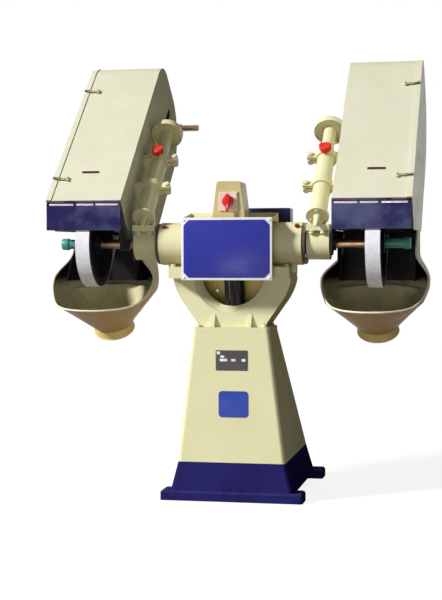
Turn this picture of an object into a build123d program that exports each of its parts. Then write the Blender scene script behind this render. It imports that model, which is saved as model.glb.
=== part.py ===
from build123d import *
import math
import os

# Floor-standing twin belt sander: a cast pedestal carries a spindle head, and each end of the spindle
# drives a sanding belt that runs up a leaning arm to an idler wheel inside a sheet-metal guard.
# Millimetres, +X to the right, +Y to the back, +Z up. The origin is on the floor, in the middle of the base.

# Clearances
RUNNING_GAP = 0.04
SLIDING_GAP = 0.08
BELT_GAP = 0.35
SHEET_GAP = 0.6
PART_GAP = 0.5
PRESS_GAP = 0.02
CUT_PAST = 1.0

# Base and column
BASE_DEPTH = 650.0
BASE_FRONT_AHEAD = 55.0
BAR_LENGTH = 506.0
BAR_DEPTH = 96.0
BAR_HEIGHT = 34.0
BAR_ROUND = 12.0
ANCHOR_HOLE_RADIUS = 9.0
ANCHOR_END_DISTANCE = 28.0
FOOT_FLARE = 26.0
FOOT_TOP = 136.0
FLOOR_PLATE = 12.0
FLOOR_LAP = 10.0
CASTING_WALL = 10.0
COLUMN_FOOT_WIDTH = 382.0
COLUMN_FOOT_DEPTH = 540.0
COLUMN_TOP_WIDTH = 271.0
COLUMN_TOP_DEPTH = 190.0
COLUMN_ROUND = 14.0
ACCESS_WIDTH = 190.0
ACCESS_HEIGHT = 250.0
ACCESS_LAP = 16.0
ACCESS_THICKNESS = 4.0

# Spindle
SPINDLE_HEIGHT = 900.0
COLUMN_FRONT_AHEAD = 40.0
SHAFT_RADIUS = 16.0
SHAFT_BEARING_RADIUS = 20.0
SHAFT_MIDDLE_RADIUS = 24.0
BEARING_RADIUS = 45.0
BEARING_WIDTH = 23.0
BEARING_GROOVE_HALF = 4.0
BEARING_GROOVE_DEPTH = 1.5
SLEEVE_RADIUS = 21.0
SLEEVE_LENGTH = 88.0
SHAFT_END_SHORT = 8.0

# Drive
GROOVE_COUNT = 3
GROOVE_PITCH = 19.0
DRIVE_BELT_WIDTH = 14.0
DRIVE_BELT_DEPTH = 11.0
GROOVE_DEPTH = 13.0
SPINDLE_PULLEY_RADIUS = 52.0
MOTOR_PULLEY_RADIUS = 60.0
PULLEY_CHEEK = 6.0
MOTOR_BEHIND = 165.0
MOTOR_HEIGHT = 118.0
MOTOR_RADIUS = 102.0
MOTOR_LENGTH = 122.0
MOTOR_SHAFT_RADIUS = 19.0
MOTOR_FOOT_THICKNESS = 14.0
MOTOR_FOOT_SPREAD = 95.0

# Cradle
CRADLE_HEIGHT = 185.0
CRADLE_RADIUS = 213.0
CRADLE_CENTRE_RISE = 38.0
CRADLE_OPENING_RADIUS = 139.0
CRADLE_OPENING_RISE = 15.0
CRADLE_SHOULDER_DROP = 133.0
CRADLE_SET_BACK = 24.0
CRADLE_FOOT = 14.0
CRADLE_FOOT_HALF = 113.0
CRADLE_BOLT_INSET = 16.2
GUSSET_SPREAD = 65.0
GUSSET_WIDTH = 12.0
GUSSET_HEIGHT = 46.0
BACK_PLATE = 6.0
BACK_BOLT_SPREAD = 86.0
BACK_BOLT_DROP = 62.5
BELT_SLOT_SIDE = 8.0
BELT_SLOT_LIP = 12.0

# Head
HEAD_DROP = 120.0
HEAD_TUBE_RADIUS = 74.0
HEAD_HALF_LENGTH = 251.0
BOX_HALF_WIDTH = 118.0
BOX_FRONT = 120.0
BOX_BACK = 110.0
BOX_RISE = 85.0
BOX_WALL = 12.0
LUG_THICKNESS = 40.0
LUG_HALF_WIDTH = 212.0
LUG_FRONT = 79.0
LID_THICKNESS = 8.0
LID_RECESS = 14.0
LID_LEDGE = 6.0
NOSE_RADIUS = 41.0
NOSE_BORE = 25.0
NOSE_FLANGE = 12.0
NOSE_PAST_COLLAR = 7.0
GREASE_CUP_RADIUS = 8.0
GREASE_CUP_HEIGHT = 12.0
SIGN_WIDTH = 304.0
SIGN_HEIGHT = 206.0
SIGN_THICKNESS = 3.0
SIGN_CENTRE_BELOW = 20.0
SIGN_SCREW_INSET = 9.0
SIGN_STRAP_HEIGHT = 26.0

# Switch and control box
SWITCH_TOP_WIDTH = 80.0
SWITCH_FOOT_WIDTH = 118.0
SWITCH_HEIGHT = 144.0
SWITCH_FRONT = 76.0
SWITCH_DEPTH = 112.0
SWITCH_WALL = 5.0
SWITCH_PLATE_SIZE = 66.0
SWITCH_PLATE_THICKNESS = 6.0
SWITCH_PLATE_BELOW_TOP = 70.0
KNOB_RADIUS = 17.0
KNOB_HEIGHT = 18.0
KNOB_POINTER = 32.0
KNOB_STEM_RADIUS = 5.0
CONTROL_BOX_WIDTH = 205.0
CONTROL_BOX_DEPTH = 62.0
CONTROL_BOX_HEIGHT = 150.0
CONTROL_BOX_RIGHT = 188.0
CONTROL_BOX_RISE = 42.0
CONTROL_BOX_WALL = 3.0

# Sanding belt and wheels
WHEEL_FROM_TUBE = 196.0
WHEEL_RADIUS = 150.0
TYRE_DEPTH = 16.0
WHEEL_WIDTH = 50.0
WHEEL_RIM = 16.0
WHEEL_WEB = 14.0
HUB_RADIUS = 36.0
HUB_LENGTH = 58.0
SANDING_BELT_WIDTH = 50.0
SANDING_BELT_THICKNESS = 1.6
SANDING_BELT_LENGTH = 2100.0
IDLER_RADIUS = 85.0
IDLER_RIM = 12.0
IDLER_HUB_RADIUS = 26.0
AXLE_RADIUS = 12.0
AXLE_NUT_RADIUS = 19.0
AXLE_NUT_LENGTH = 14.0
AXLE_PAST_TUBE = 76.0

# Arm
ARM_LEAN = 48.0
COLLAR_HEAD_GAP = 1.0
TUBE_AHEAD = 105.0
TUBE_RADIUS = 30.5
TUBE_FOOT = 30.0
TUBE_TOP = 366.0
TUBE_FLOOR = 12.0
FLANGE_RADIUS = 39.5
FLANGE_THICKNESS = 12.0
CONE_RADIUS = 11.0
CONE_LENGTH = 30.0
COLLAR_WIDTH = 78.0
COLLAR_RADIUS = 56.0
PAD_HALF_DEPTH = 64.0
PAD_THICKNESS = 12.0
BRACKET_FOOT = 10.0
BRACKET_WEB = 36.0
COLLAR_BOLT_SPREAD = 54.0
COLLAR_SLIT = 4.0
SLIDE_RADIUS = 22.5
SLIDE_BORE = 17.0
SLIDE_FOOT = 160.0
DISC_PLACE = 502.0
DISC_GUARD_GAP = 2.0
DISC_THICKNESS = 12.0
SLIDE_UP = 90.0
SLIDE_DOWN = 30.0
SPRING_WALL = 4.0
LOCK_STEM_RADIUS = 5.0
LOCK_KNOB_RADIUS = 15.0
LOCK_KNOB_HEIGHT = 20.0
LOCK_LOBE_RADIUS = 9.0
LOCK_LOBE_OUT = 14.0
CARRIER_ROUND = 26.0
CARRIER_WIDTH = 36.0
CARRIER_BOSS_LENGTH = 60.0
CARRIER_FOOT = 12.0
CARRIER_FOOT_RADIUS = 46.0
CLAMP_LOW_PLACE = 182.0
CLAMP_HIGH_PLACE = 341.0
CLAMP_RADIUS = 38.0
CLAMP_WIDTH = 26.0
CLAMP_EAR_REACH = 66.0
CLAMP_EAR_DEPTH = 30.0
CLAMP_SLIT = 5.0
CLAMP_BLOCK_DEPTH = 34.0

# Guard
GUARD_FROM_TUBE = 59.0
GUARD_WIDTH = 265.0
GUARD_SHEET = 3.0
PANEL_AHEAD = 210.0
BACK_BEHIND = 215.0
GUARD_FOOT = -8.0
CROWN_FRONT_RADIUS = 105.0
CROWN_FRONT_PLACE = 745.0
CROWN_BACK_RADIUS = 190.0
CROWN_BACK_PLACE = 680.0
GUARD_BOTTOM = 45.0
AXLE_SLOT_WIDTH = 34.0
AXLE_SLOT_SPARE = 8.0
SIGHT_SLOT_WIDTH = 62.0
SIGHT_SLOT_HEIGHT = 9.0
SIGHT_SLOT_PLACE = 147.0
SIGHT_SLOT_OUTWARD = 3.0
DOOR_SHEET = 2.5
DOOR_LAP = 15.0
DOOR_HINGE_RADIUS = 6.0
DOOR_PIN_RADIUS = 3.0
DOOR_KNUCKLE_LENGTH = 44.0
DOOR_KNUCKLE_PLACES = (380.0, 590.0)
VISOR_HEIGHT = 98.0
VISOR_SHEET = 2.5
VISOR_KNUCKLE_RADIUS = 5.0
VISOR_PIN_RADIUS = 2.0
VISOR_DROP = 6.0
VISOR_KNUCKLES = 5
LATCH_LENGTH = 54.0
LATCH_WIDTH = 11.0
LATCH_THICKNESS = 3.5
LATCH_PLACES = (104.0, 628.0)
LATCH_PIN_RADIUS = 2.0
LATCH_KNUCKLE_RADIUS = 4.0
LATCH_LUG = 4.0

# Dust hood
HOOD_SHEET = 2.5
HOOD_SHOULDER = -30.0
HOOD_FLARE_STEPS = 4
HOOD_BELLY = -150.0
HOOD_LIP = -215.0
HOOD_NECK = -287.0
HOOD_INWARD = 12.0
HOOD_HALF_WIDTH = 190.0
HOOD_LIP_HALF_WIDTH = 182.0
HOOD_FRONT = -112.0
HOOD_CORNER = 186.0
HOOD_BELLY_REAR = 305.0
HOOD_LIP_CORNER = 178.0
HOOD_LIP_REAR = 290.0
HOOD_TOP_CORNER = 10.0
HOOD_MOUTH_BACK = -20.0
HOOD_MOUTH_TOP_BACK = 207.0
SPOUT_RADIUS = 74.0
SPOUT_BACK = 198.0
SPOUT_BOTTOM = -358.0

# Fasteners
BOLT_RADIUS = 6.0
BOLT_HEAD_RADIUS = 9.0
BOLT_HEAD = 8.0
SCREW_RADIUS = 3.0
SCREW_HEAD_RADIUS = 5.0
SCREW_HEAD = 3.0

# Places worked out from the driving dimensions
SPINDLE_Y = BASE_FRONT_AHEAD - BASE_DEPTH / 2
HEAD_BOTTOM = SPINDLE_HEIGHT - HEAD_DROP
CRADLE_TOP = HEAD_BOTTOM
CRADLE_CENTRE = CRADLE_TOP + CRADLE_CENTRE_RISE
CRADLE_OPENING_CENTRE = CRADLE_TOP + CRADLE_OPENING_RISE
COLUMN_TOP = CRADLE_TOP - CRADLE_HEIGHT
BOX_TOP = SPINDLE_HEIGHT + BOX_RISE
SWITCH_TOP = BOX_TOP - LID_RECESS + SWITCH_HEIGHT
CONTROL_BOX_TOP = BOX_TOP + CONTROL_BOX_RISE
COLUMN_FRONT = SPINDLE_Y - COLUMN_FRONT_AHEAD
COLUMN_TOP_BACK = COLUMN_FRONT + COLUMN_TOP_DEPTH
COLUMN_FOOT_BACK = COLUMN_FRONT + COLUMN_FOOT_DEPTH
CRADLE_FRONT = COLUMN_FRONT + CRADLE_SET_BACK
MOTOR_Y = SPINDLE_Y + MOTOR_BEHIND
MOTOR_Z = BAR_HEIGHT + FLOOR_PLATE + MOTOR_HEIGHT
PULLEY_WIDTH = GROOVE_COUNT * GROOVE_PITCH + PULLEY_CHEEK
PAD_HIGH = COLLAR_RADIUS
PAD_LOW = PAD_HIGH - PAD_THICKNESS
COLLAR_INNER = HEAD_HALF_LENGTH + NOSE_FLANGE + SCREW_HEAD + COLLAR_HEAD_GAP
COLLAR_OUTER = COLLAR_INNER + COLLAR_WIDTH
NOSE_END = COLLAR_OUTER + NOSE_PAST_COLLAR
TUBE_X = (COLLAR_INNER + COLLAR_OUTER) / 2
WHEEL_X = TUBE_X + WHEEL_FROM_TUBE
AXLE_INNER_END = TUBE_X - AXLE_PAST_TUBE
CLAMP_EAR_END = TUBE_X - CLAMP_EAR_REACH
GUARD_INNER = TUBE_X + GUARD_FROM_TUBE
GUARD_OUTER = GUARD_INNER + GUARD_WIDTH
DISC_RADIUS = GUARD_FROM_TUBE - DISC_GUARD_GAP
SIGHT_SLOT_X = WHEEL_X + SIGHT_SLOT_OUTWARD
HOOD_X = WHEEL_X - HOOD_INWARD
SLEEVE_START = WHEEL_X + HUB_LENGTH / 2
SLEEVE_END = SLEEVE_START + SLEEVE_LENGTH
LEAN_SINE = math.sin(math.radians(ARM_LEAN))
LEAN_COSINE = math.cos(math.radians(ARM_LEAN))

# Arm pieces are drawn upright about the spindle axis, then leant back and lifted into place.
SPINDLE_PLACE = Pos(0, SPINDLE_Y, SPINDLE_HEIGHT)
ARM_PLACE = SPINDLE_PLACE * Rot(-ARM_LEAN, 0, 0)


def arm_point(ahead, along):
    """Depth and height from the spindle axis of a point on the leaning arm."""
    return (along * LEAN_SINE - ahead * LEAN_COSINE, along * LEAN_COSINE + ahead * LEAN_SINE)


def belt_centres():
    """Distance from the spindle to the idler that the sanding belt's length gives."""
    wheel = WHEEL_RADIUS + BELT_GAP + SANDING_BELT_THICKNESS / 2
    idler = IDLER_RADIUS + BELT_GAP + SANDING_BELT_THICKNESS / 2
    free = SANDING_BELT_LENGTH - math.pi * (wheel + idler)
    return (free + math.sqrt(free * free - 8 * (wheel - idler) ** 2)) / 4


IDLER_PLACE = belt_centres()


def block(x0, x1, y0, y1, z0, z1):
    """A box between two corners."""
    centre = Pos((x0 + x1) / 2, (y0 + y1) / 2, (z0 + z1) / 2)
    return centre * Box(x1 - x0, y1 - y0, z1 - z0)


def rod_x(radius, x0, x1, y=0.0, z=0.0):
    """A round bar along X."""
    return Pos((x0 + x1) / 2, y, z) * Rot(0, 90, 0) * Cylinder(radius, x1 - x0)


def rod_y(radius, y0, y1, x=0.0, z=0.0):
    """A round bar along Y."""
    return Pos(x, (y0 + y1) / 2, z) * Rot(90, 0, 0) * Cylinder(radius, y1 - y0)


def rod_z(radius, z0, z1, x=0.0, y=0.0):
    """A round bar along Z."""
    return Pos(x, y, (z0 + z1) / 2) * Cylinder(radius, z1 - z0)


def polygon(*points):
    """A flat face through the points."""
    return make_face(Polyline(*points, close=True))


def slab_x(face, x0, x1):
    """A face drawn in Y and Z, thickened from x0 to x1."""
    return Pos(x0, 0, 0) * extrude(Plane.YZ * face, x1 - x0)


def slab_y(face, y0, y1):
    """A face drawn in X and Z, thickened from y0 to y1."""
    return Pos(0, y1, 0) * extrude(Plane.XZ * face, y1 - y0)


def disc(radius, across, up):
    """A round face at a place in the plane of a slab."""
    return Pos(across, up) * Circle(radius)


def hull_of(*discs):
    """The face that a string pulled round the discs encloses."""
    edges = [edge for one in discs for edge in one.edges()]
    return make_hull(edges)


def rounded_block(x0, x1, y0, y1, z0, z1, radius):
    """A box with rounded upright corners."""
    sketch = Pos((x0 + x1) / 2, (y0 + y1) / 2, z0) * RectangleRounded(x1 - x0, y1 - y0, radius)
    return extrude(sketch, z1 - z0)


def tapered_block(low, high, radius):
    """A loft between two rounded rectangles, each given as half width, front, back and height."""
    faces = []
    for half, front, back, height in (low, high):
        sketch = Pos(0, (front + back) / 2, height) * RectangleRounded(2 * half, back - front, radius)
        faces.append(sketch)
    return loft(faces, ruled=True)


def bolt_down(x, y, seat, length):
    """A bolt with its head on an upward face."""
    head = rod_z(BOLT_HEAD_RADIUS, seat, seat + BOLT_HEAD, x, y)
    return head + rod_z(BOLT_RADIUS, seat - length, seat, x, y)


def bolt_hole(x, y, z0, z1):
    """The clearance hole that an upright bolt passes through."""
    return rod_z(BOLT_RADIUS + PRESS_GAP, z0, z1, x, y)


def group(*solids):
    """Several separate solids in one node."""
    return Compound(children=[solid for part in solids for solid in part.solids()])


def mirrored(part):
    """The same piece for the left-hand station."""
    return mirror(part, about=Plane.YZ)


def save(name, part):
    """Write one node."""
    export_step(part, f"parts/{name}.step")


# Base and column

def anchor_places():
    """Centres of the holes that hold the base to the floor."""
    across = BAR_LENGTH / 2 - ANCHOR_END_DISTANCE
    along = (BASE_DEPTH - BAR_DEPTH) / 2
    return [(x, y) for x in (-across, across) for y in (-along, along)]


def pedestal_foot():
    half_foot = COLUMN_FOOT_WIDTH / 2
    low = (half_foot + FOOT_FLARE, COLUMN_FRONT - FOOT_FLARE / 3, COLUMN_FOOT_BACK + FOOT_FLARE, BAR_HEIGHT)
    high = (half_foot, COLUMN_FRONT, COLUMN_FOOT_BACK, FOOT_TOP)
    skirt = tapered_block(low, high, COLUMN_ROUND)
    room_low = (low[0] - CASTING_WALL, low[1] + CASTING_WALL, low[2] - CASTING_WALL, BAR_HEIGHT)
    room_high = (high[0] - CASTING_WALL, high[1] + CASTING_WALL, high[2] - CASTING_WALL, FOOT_TOP)
    room = tapered_block(room_low, room_high, COLUMN_ROUND - CASTING_WALL / 2)
    floor = rounded_block(-low[0], low[0], low[1], low[2], BAR_HEIGHT - FLOOR_PLATE, BAR_HEIGHT + FLOOR_PLATE,
                          COLUMN_ROUND)
    foot = skirt - room + (floor & (skirt + Pos(0, 0, -2 * FLOOR_PLATE) * skirt))
    reach = BASE_DEPTH / 2 - BAR_DEPTH + FLOOR_LAP
    foot += block(-half_foot, half_foot, -reach, reach, BAR_HEIGHT - FLOOR_PLATE, BAR_HEIGHT + FLOOR_PLATE)
    for side in (-1, 1):
        centre = side * (BASE_DEPTH - BAR_DEPTH) / 2
        bar = rounded_block(-BAR_LENGTH / 2, BAR_LENGTH / 2, centre - BAR_DEPTH / 2, centre + BAR_DEPTH / 2,
                            0, BAR_HEIGHT, BAR_ROUND)
        foot += chamfer(bar.edges().group_by(Axis.Z)[-1], BAR_ROUND / 2)
    for x, y in anchor_places():
        foot -= rod_z(ANCHOR_HOLE_RADIUS, -CUT_PAST, BAR_HEIGHT + CUT_PAST, x, y)
    return foot


def column_section(height):
    """Half width, front and back of the column's outside at a height."""
    share = (height - FOOT_TOP) / (COLUMN_TOP - FOOT_TOP)
    half = COLUMN_FOOT_WIDTH / 2 + share * (COLUMN_TOP_WIDTH - COLUMN_FOOT_WIDTH) / 2
    back = COLUMN_FOOT_BACK + share * (COLUMN_TOP_BACK - COLUMN_FOOT_BACK)
    return (half, COLUMN_FRONT, back, height)


def access_plane():
    """The sloping rear face of the column, at the middle of the access cover."""
    half, front, back, height = column_section((FOOT_TOP + COLUMN_TOP) / 2)
    rise = COLUMN_TOP - FOOT_TOP
    run = COLUMN_FOOT_BACK - COLUMN_TOP_BACK
    return Plane(origin=(0, back, height), x_dir=(-1, 0, 0), z_dir=(0, rise, run))


def access_screw_places():
    """Where the cover's screws sit, in the plane of the rear face."""
    across = (ACCESS_WIDTH - ACCESS_LAP) / 2
    along = (ACCESS_HEIGHT - ACCESS_LAP) / 2
    return [(x, y) for x in (-across, across) for y in (-along, along)]


def belt_slot(low, high):
    """The upright passage for the drive belts through the casting below the head."""
    half = PULLEY_WIDTH / 2 + BELT_SLOT_SIDE
    return block(-half, half, CRADLE_FRONT + BELT_SLOT_LIP, COLUMN_TOP_BACK - CASTING_WALL, low, high)


def pedestal_column():
    outside = tapered_block(column_section(FOOT_TOP), column_section(COLUMN_TOP), COLUMN_ROUND)
    sections = []
    for height in (FOOT_TOP, COLUMN_TOP - CASTING_WALL):
        half, front, back, level = column_section(height)
        sections.append((half - CASTING_WALL, front + CASTING_WALL, back - CASTING_WALL, level))
    room = tapered_block(*sections, COLUMN_ROUND - CASTING_WALL / 2)
    column = outside - room - belt_slot(COLUMN_TOP - 2 * CASTING_WALL, COLUMN_TOP + CUT_PAST)
    window = Box(ACCESS_WIDTH - 2 * ACCESS_LAP, ACCESS_HEIGHT - 2 * ACCESS_LAP, 4 * CASTING_WALL)
    column -= access_plane() * window
    for x, y in access_screw_places():
        column -= access_plane() * Pos(x, y, 0) * Cylinder(SCREW_RADIUS + PRESS_GAP, 4 * CASTING_WALL)
    for x, y in cradle_foot_bolts():
        column -= bolt_hole(x, y, COLUMN_TOP - 2 * CASTING_WALL, COLUMN_TOP + CUT_PAST)
    return column


def access_cover():
    cover = Pos(0, 0, ACCESS_THICKNESS / 2) * Box(ACCESS_WIDTH, ACCESS_HEIGHT, ACCESS_THICKNESS)
    cover = fillet(cover.edges().filter_by(Axis.Z), ACCESS_LAP / 2)
    for x, y in access_screw_places():
        cover -= Pos(x, y, 0) * Cylinder(SCREW_RADIUS + PRESS_GAP, 4 * ACCESS_THICKNESS)
    return access_plane() * cover


# Cradle

def cradle_foot_bolts():
    """Bolts that hold the cradle's foot to the column's top."""
    across = COLUMN_TOP_WIDTH / 2 - 2 * BOLT_HEAD_RADIUS
    front = COLUMN_FRONT + CRADLE_BOLT_INSET
    back = COLUMN_TOP_BACK - CRADLE_BOLT_INSET
    return [(x, y) for x in (-across, across) for y in (front, back)]


def lug_bolts():
    """Bolts that hold the head's lugs to the cradle's top."""
    across = (LUG_HALF_WIDTH + CRADLE_OPENING_RADIUS) / 2
    front = CRADLE_FRONT + 2 * BOLT_HEAD_RADIUS
    back = COLUMN_TOP_BACK - 3 * BOLT_HEAD_RADIUS
    return [(x, y) for x in (-across, across) for y in (front, back)]


def back_plate_bolts():
    """Bolts of the cradle's back plate, as across and height."""
    height = CRADLE_OPENING_CENTRE - BACK_BOLT_DROP
    return [(-BACK_BOLT_SPREAD, height), (BACK_BOLT_SPREAD, height)]


def cradle():
    foot_top = COLUMN_TOP + CRADLE_FOOT
    back = COLUMN_TOP_BACK - BACK_PLATE
    reach = math.sqrt(CRADLE_RADIUS ** 2 - (CRADLE_CENTRE - CRADLE_TOP) ** 2)
    shoulder = CRADLE_CENTRE - CRADLE_SHOULDER_DROP
    shoulder_half = math.sqrt(CRADLE_RADIUS ** 2 - CRADLE_SHOULDER_DROP ** 2)
    keep = Pos(0, (foot_top + CRADLE_TOP) / 2) * Rectangle(2 * CRADLE_RADIUS, CRADLE_TOP - foot_top)
    ring = (disc(CRADLE_RADIUS, 0, CRADLE_CENTRE) & keep) + polygon(
        (-shoulder_half, shoulder), (-CRADLE_FOOT_HALF, foot_top),
        (CRADLE_FOOT_HALF, foot_top), (shoulder_half, shoulder))
    opening = disc(CRADLE_OPENING_RADIUS, 0, CRADLE_OPENING_CENTRE)
    body = slab_y(ring, CRADLE_FRONT, back) - slab_y(opening, CRADLE_FRONT - CUT_PAST, back + CUT_PAST)
    half_top = COLUMN_TOP_WIDTH / 2
    body += rounded_block(-half_top, half_top, COLUMN_FRONT, COLUMN_TOP_BACK, COLUMN_TOP, foot_top,
                          COLUMN_ROUND)
    gusset = polygon((COLUMN_FRONT + GUSSET_WIDTH / 4, foot_top), (CRADLE_FRONT, foot_top),
                     (CRADLE_FRONT, foot_top + GUSSET_HEIGHT))
    for side in (-1, 1):
        centre = side * GUSSET_SPREAD
        body += slab_x(gusset, centre - GUSSET_WIDTH / 2, centre + GUSSET_WIDTH / 2)
    body -= belt_slot(COLUMN_TOP - CUT_PAST, CRADLE_OPENING_CENTRE)
    for x, y in cradle_foot_bolts():
        body -= bolt_hole(x, y, COLUMN_TOP - CUT_PAST, foot_top + CUT_PAST)
        body -= rod_z(BOLT_HEAD_RADIUS + PART_GAP, foot_top, foot_top + 2 * BOLT_HEAD, x, y)
    for x, y in lug_bolts():
        body -= bolt_hole(x, y, CRADLE_TOP - 4 * BOLT_HEAD, CRADLE_TOP + CUT_PAST)
    return body


def cradle_back_plate():
    foot_top = COLUMN_TOP + CRADLE_FOOT
    back = COLUMN_TOP_BACK
    keep = Pos(0, (foot_top + CRADLE_TOP) / 2) * Rectangle(2 * CRADLE_RADIUS, CRADLE_TOP - foot_top)
    plate = slab_y(disc(CRADLE_RADIUS - BACK_PLATE, 0, CRADLE_CENTRE) & keep, back - BACK_PLATE, back)
    for x, z in back_plate_bolts():
        plate -= rod_y(BOLT_RADIUS + PRESS_GAP, back - 2 * BACK_PLATE, back + BACK_PLATE, x, z)
    for x, y in cradle_foot_bolts():
        plate -= rod_z(BOLT_HEAD_RADIUS + PART_GAP, foot_top - CUT_PAST, foot_top + 2 * BOLT_HEAD, x, y)
    return plate


# Spindle head

def nose_screws():
    """Screws round each bearing nose, as depth and height from the spindle axis."""
    circle = (HEAD_TUBE_RADIUS + BEARING_RADIUS) / 2
    spots = []
    for turn in range(4):
        angle = math.radians(45 + 90 * turn)
        spots.append((circle * math.cos(angle), circle * math.sin(angle)))
    return spots


def sign_screws():
    """Corner screws of the sign plate, as across and height."""
    across = SIGN_WIDTH / 2 - SIGN_SCREW_INSET
    up = SIGN_HEIGHT / 2 - SIGN_SCREW_INSET
    middle = SPINDLE_HEIGHT - SIGN_CENTRE_BELOW
    return [(x, middle + z) for x in (-across, across) for z in (-up, up)]


def grease_cup_x():
    """Where the grease cups stand, over the bearings."""
    return HEAD_HALF_LENGTH - 2 * GREASE_CUP_RADIUS


def sign_straps():
    """Two bars on the belt box's front that carry the sign plate beyond the box's sides."""
    front = SPINDLE_Y - BOX_FRONT
    middle = SPINDLE_HEIGHT - SIGN_CENTRE_BELOW
    offset = (SIGN_HEIGHT - SIGN_STRAP_HEIGHT) / 2 - PART_GAP
    half = SIGN_WIDTH / 2 - PART_GAP
    straps = [block(-half, half, front, front + BOX_WALL / 2, middle + side * offset - SIGN_STRAP_HEIGHT / 2,
                    middle + side * offset + SIGN_STRAP_HEIGHT / 2) for side in (-1, 1)]
    return straps[0] + straps[1]


def head_housing():
    """Two side castings with the spindle tube, and the belt box's front and back plates between them."""
    front = SPINDLE_Y - BOX_FRONT
    back = SPINDLE_Y + BOX_BACK
    room = BOX_HALF_WIDTH - BOX_WALL
    head = rounded_block(-BOX_HALF_WIDTH, BOX_HALF_WIDTH, front, back, HEAD_BOTTOM, BOX_TOP, BOX_WALL / 2)
    head += rod_x(HEAD_TUBE_RADIUS, -HEAD_HALF_LENGTH, HEAD_HALF_LENGTH, SPINDLE_Y, SPINDLE_HEIGHT)
    head += block(-LUG_HALF_WIDTH, LUG_HALF_WIDTH, SPINDLE_Y - LUG_FRONT, back, HEAD_BOTTOM,
                  HEAD_BOTTOM + LUG_THICKNESS)
    for side in (-1, 1):
        web_end = side * (HEAD_HALF_LENGTH - 3 * GREASE_CUP_RADIUS)
        head += block(min(0, web_end), max(0, web_end), SPINDLE_Y - BOX_WALL, SPINDLE_Y + BOX_WALL,
                      HEAD_BOTTOM + LUG_THICKNESS / 2, SPINDLE_HEIGHT)
    head += sign_straps()
    head -= block(-room, room, front + BOX_WALL, back - BOX_WALL, HEAD_BOTTOM - CUT_PAST, BOX_TOP + CUT_PAST)
    lid_seat = BOX_TOP - LID_RECESS - LID_THICKNESS
    head -= block(-room - LID_LEDGE, room + LID_LEDGE, front + BOX_WALL - LID_LEDGE,
                  back - BOX_WALL + LID_LEDGE, lid_seat, BOX_TOP + CUT_PAST)
    length = HEAD_HALF_LENGTH
    past = length + CUT_PAST
    head -= rod_x(BEARING_RADIUS - LID_LEDGE, -past, past, SPINDLE_Y, SPINDLE_HEIGHT)
    seat = length - 2 * BEARING_WIDTH
    for x0, x1 in ((-past, -seat), (seat, past)):
        head -= rod_x(BEARING_RADIUS + PRESS_GAP, x0, x1, SPINDLE_Y, SPINDLE_HEIGHT)
    for y, z in nose_screws():
        for x0, x1 in ((-past, -seat), (seat, past)):
            head -= rod_x(SCREW_RADIUS + PRESS_GAP, x0, x1, SPINDLE_Y + y, SPINDLE_HEIGHT + z)
    for x, y in lug_bolts():
        head -= bolt_hole(x, y, HEAD_BOTTOM - CUT_PAST, HEAD_BOTTOM + LUG_THICKNESS + CUT_PAST)
        head -= rod_z(BOLT_HEAD_RADIUS + PART_GAP, HEAD_BOTTOM + LUG_THICKNESS, SPINDLE_HEIGHT, x, y)
    for x, z in sign_screws():
        head -= rod_y(SCREW_RADIUS + PRESS_GAP, front - CUT_PAST, front + BOX_WALL, x, z)
    for side in (-1, 1):
        head -= rod_z(SCREW_RADIUS + PRESS_GAP, SPINDLE_HEIGHT, SPINDLE_HEIGHT + 2 * HEAD_TUBE_RADIUS,
                      side * grease_cup_x(), SPINDLE_Y)
    low, high = HEAD_BOTTOM - SIGN_STRAP_HEIGHT, BOX_TOP + CUT_PAST
    castings = head - block(-room, room, front - CUT_PAST, back + CUT_PAST, low, high)
    seam = room - PRESS_GAP
    plates = head & block(-seam, seam, front - CUT_PAST, back + CUT_PAST, low, high)
    return group(castings, plates)


def bearing_nose():
    """The right-hand bearing cover, with the round nose that the arm collar grips."""
    flange_end = HEAD_HALF_LENGTH + NOSE_FLANGE
    spigot = HEAD_HALF_LENGTH - BEARING_WIDTH / 2
    nose = rod_x(HEAD_TUBE_RADIUS - LID_LEDGE / 2, HEAD_HALF_LENGTH, flange_end)
    nose += rod_x(NOSE_RADIUS, flange_end, NOSE_END)
    nose += rod_x(BEARING_RADIUS - PRESS_GAP, spigot, HEAD_HALF_LENGTH)
    nose -= rod_x(NOSE_BORE, spigot - CUT_PAST, NOSE_END + CUT_PAST)
    for y, z in nose_screws():
        nose -= rod_x(SCREW_RADIUS + PRESS_GAP, HEAD_HALF_LENGTH - CUT_PAST, flange_end + CUT_PAST, y, z)
    return SPINDLE_PLACE * nose


def spindle_bearing():
    """One bearing, drawn as its two rings and the filled race between them."""
    outer = HEAD_HALF_LENGTH - BEARING_WIDTH / 2
    bearing = rod_x(BEARING_RADIUS, outer - BEARING_WIDTH, outer)
    bearing -= rod_x(SHAFT_BEARING_RADIUS + RUNNING_GAP, outer - 2 * BEARING_WIDTH, outer + BEARING_WIDTH)
    middle = (BEARING_RADIUS + SHAFT_BEARING_RADIUS) / 2
    groove = rod_x(middle + BEARING_GROOVE_HALF, outer - BEARING_GROOVE_DEPTH, outer + CUT_PAST)
    groove -= rod_x(middle - BEARING_GROOVE_HALF, outer - BEARING_WIDTH, outer + BEARING_WIDTH)
    return SPINDLE_PLACE * (bearing - groove)


def belt_box_lid():
    front = SPINDLE_Y - BOX_FRONT + BOX_WALL - LID_LEDGE + PART_GAP
    back = SPINDLE_Y + BOX_BACK - BOX_WALL + LID_LEDGE - PART_GAP
    half = BOX_HALF_WIDTH - BOX_WALL + LID_LEDGE - PART_GAP
    top = BOX_TOP - LID_RECESS
    return block(-half, half, front, back, top - LID_THICKNESS, top)


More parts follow.
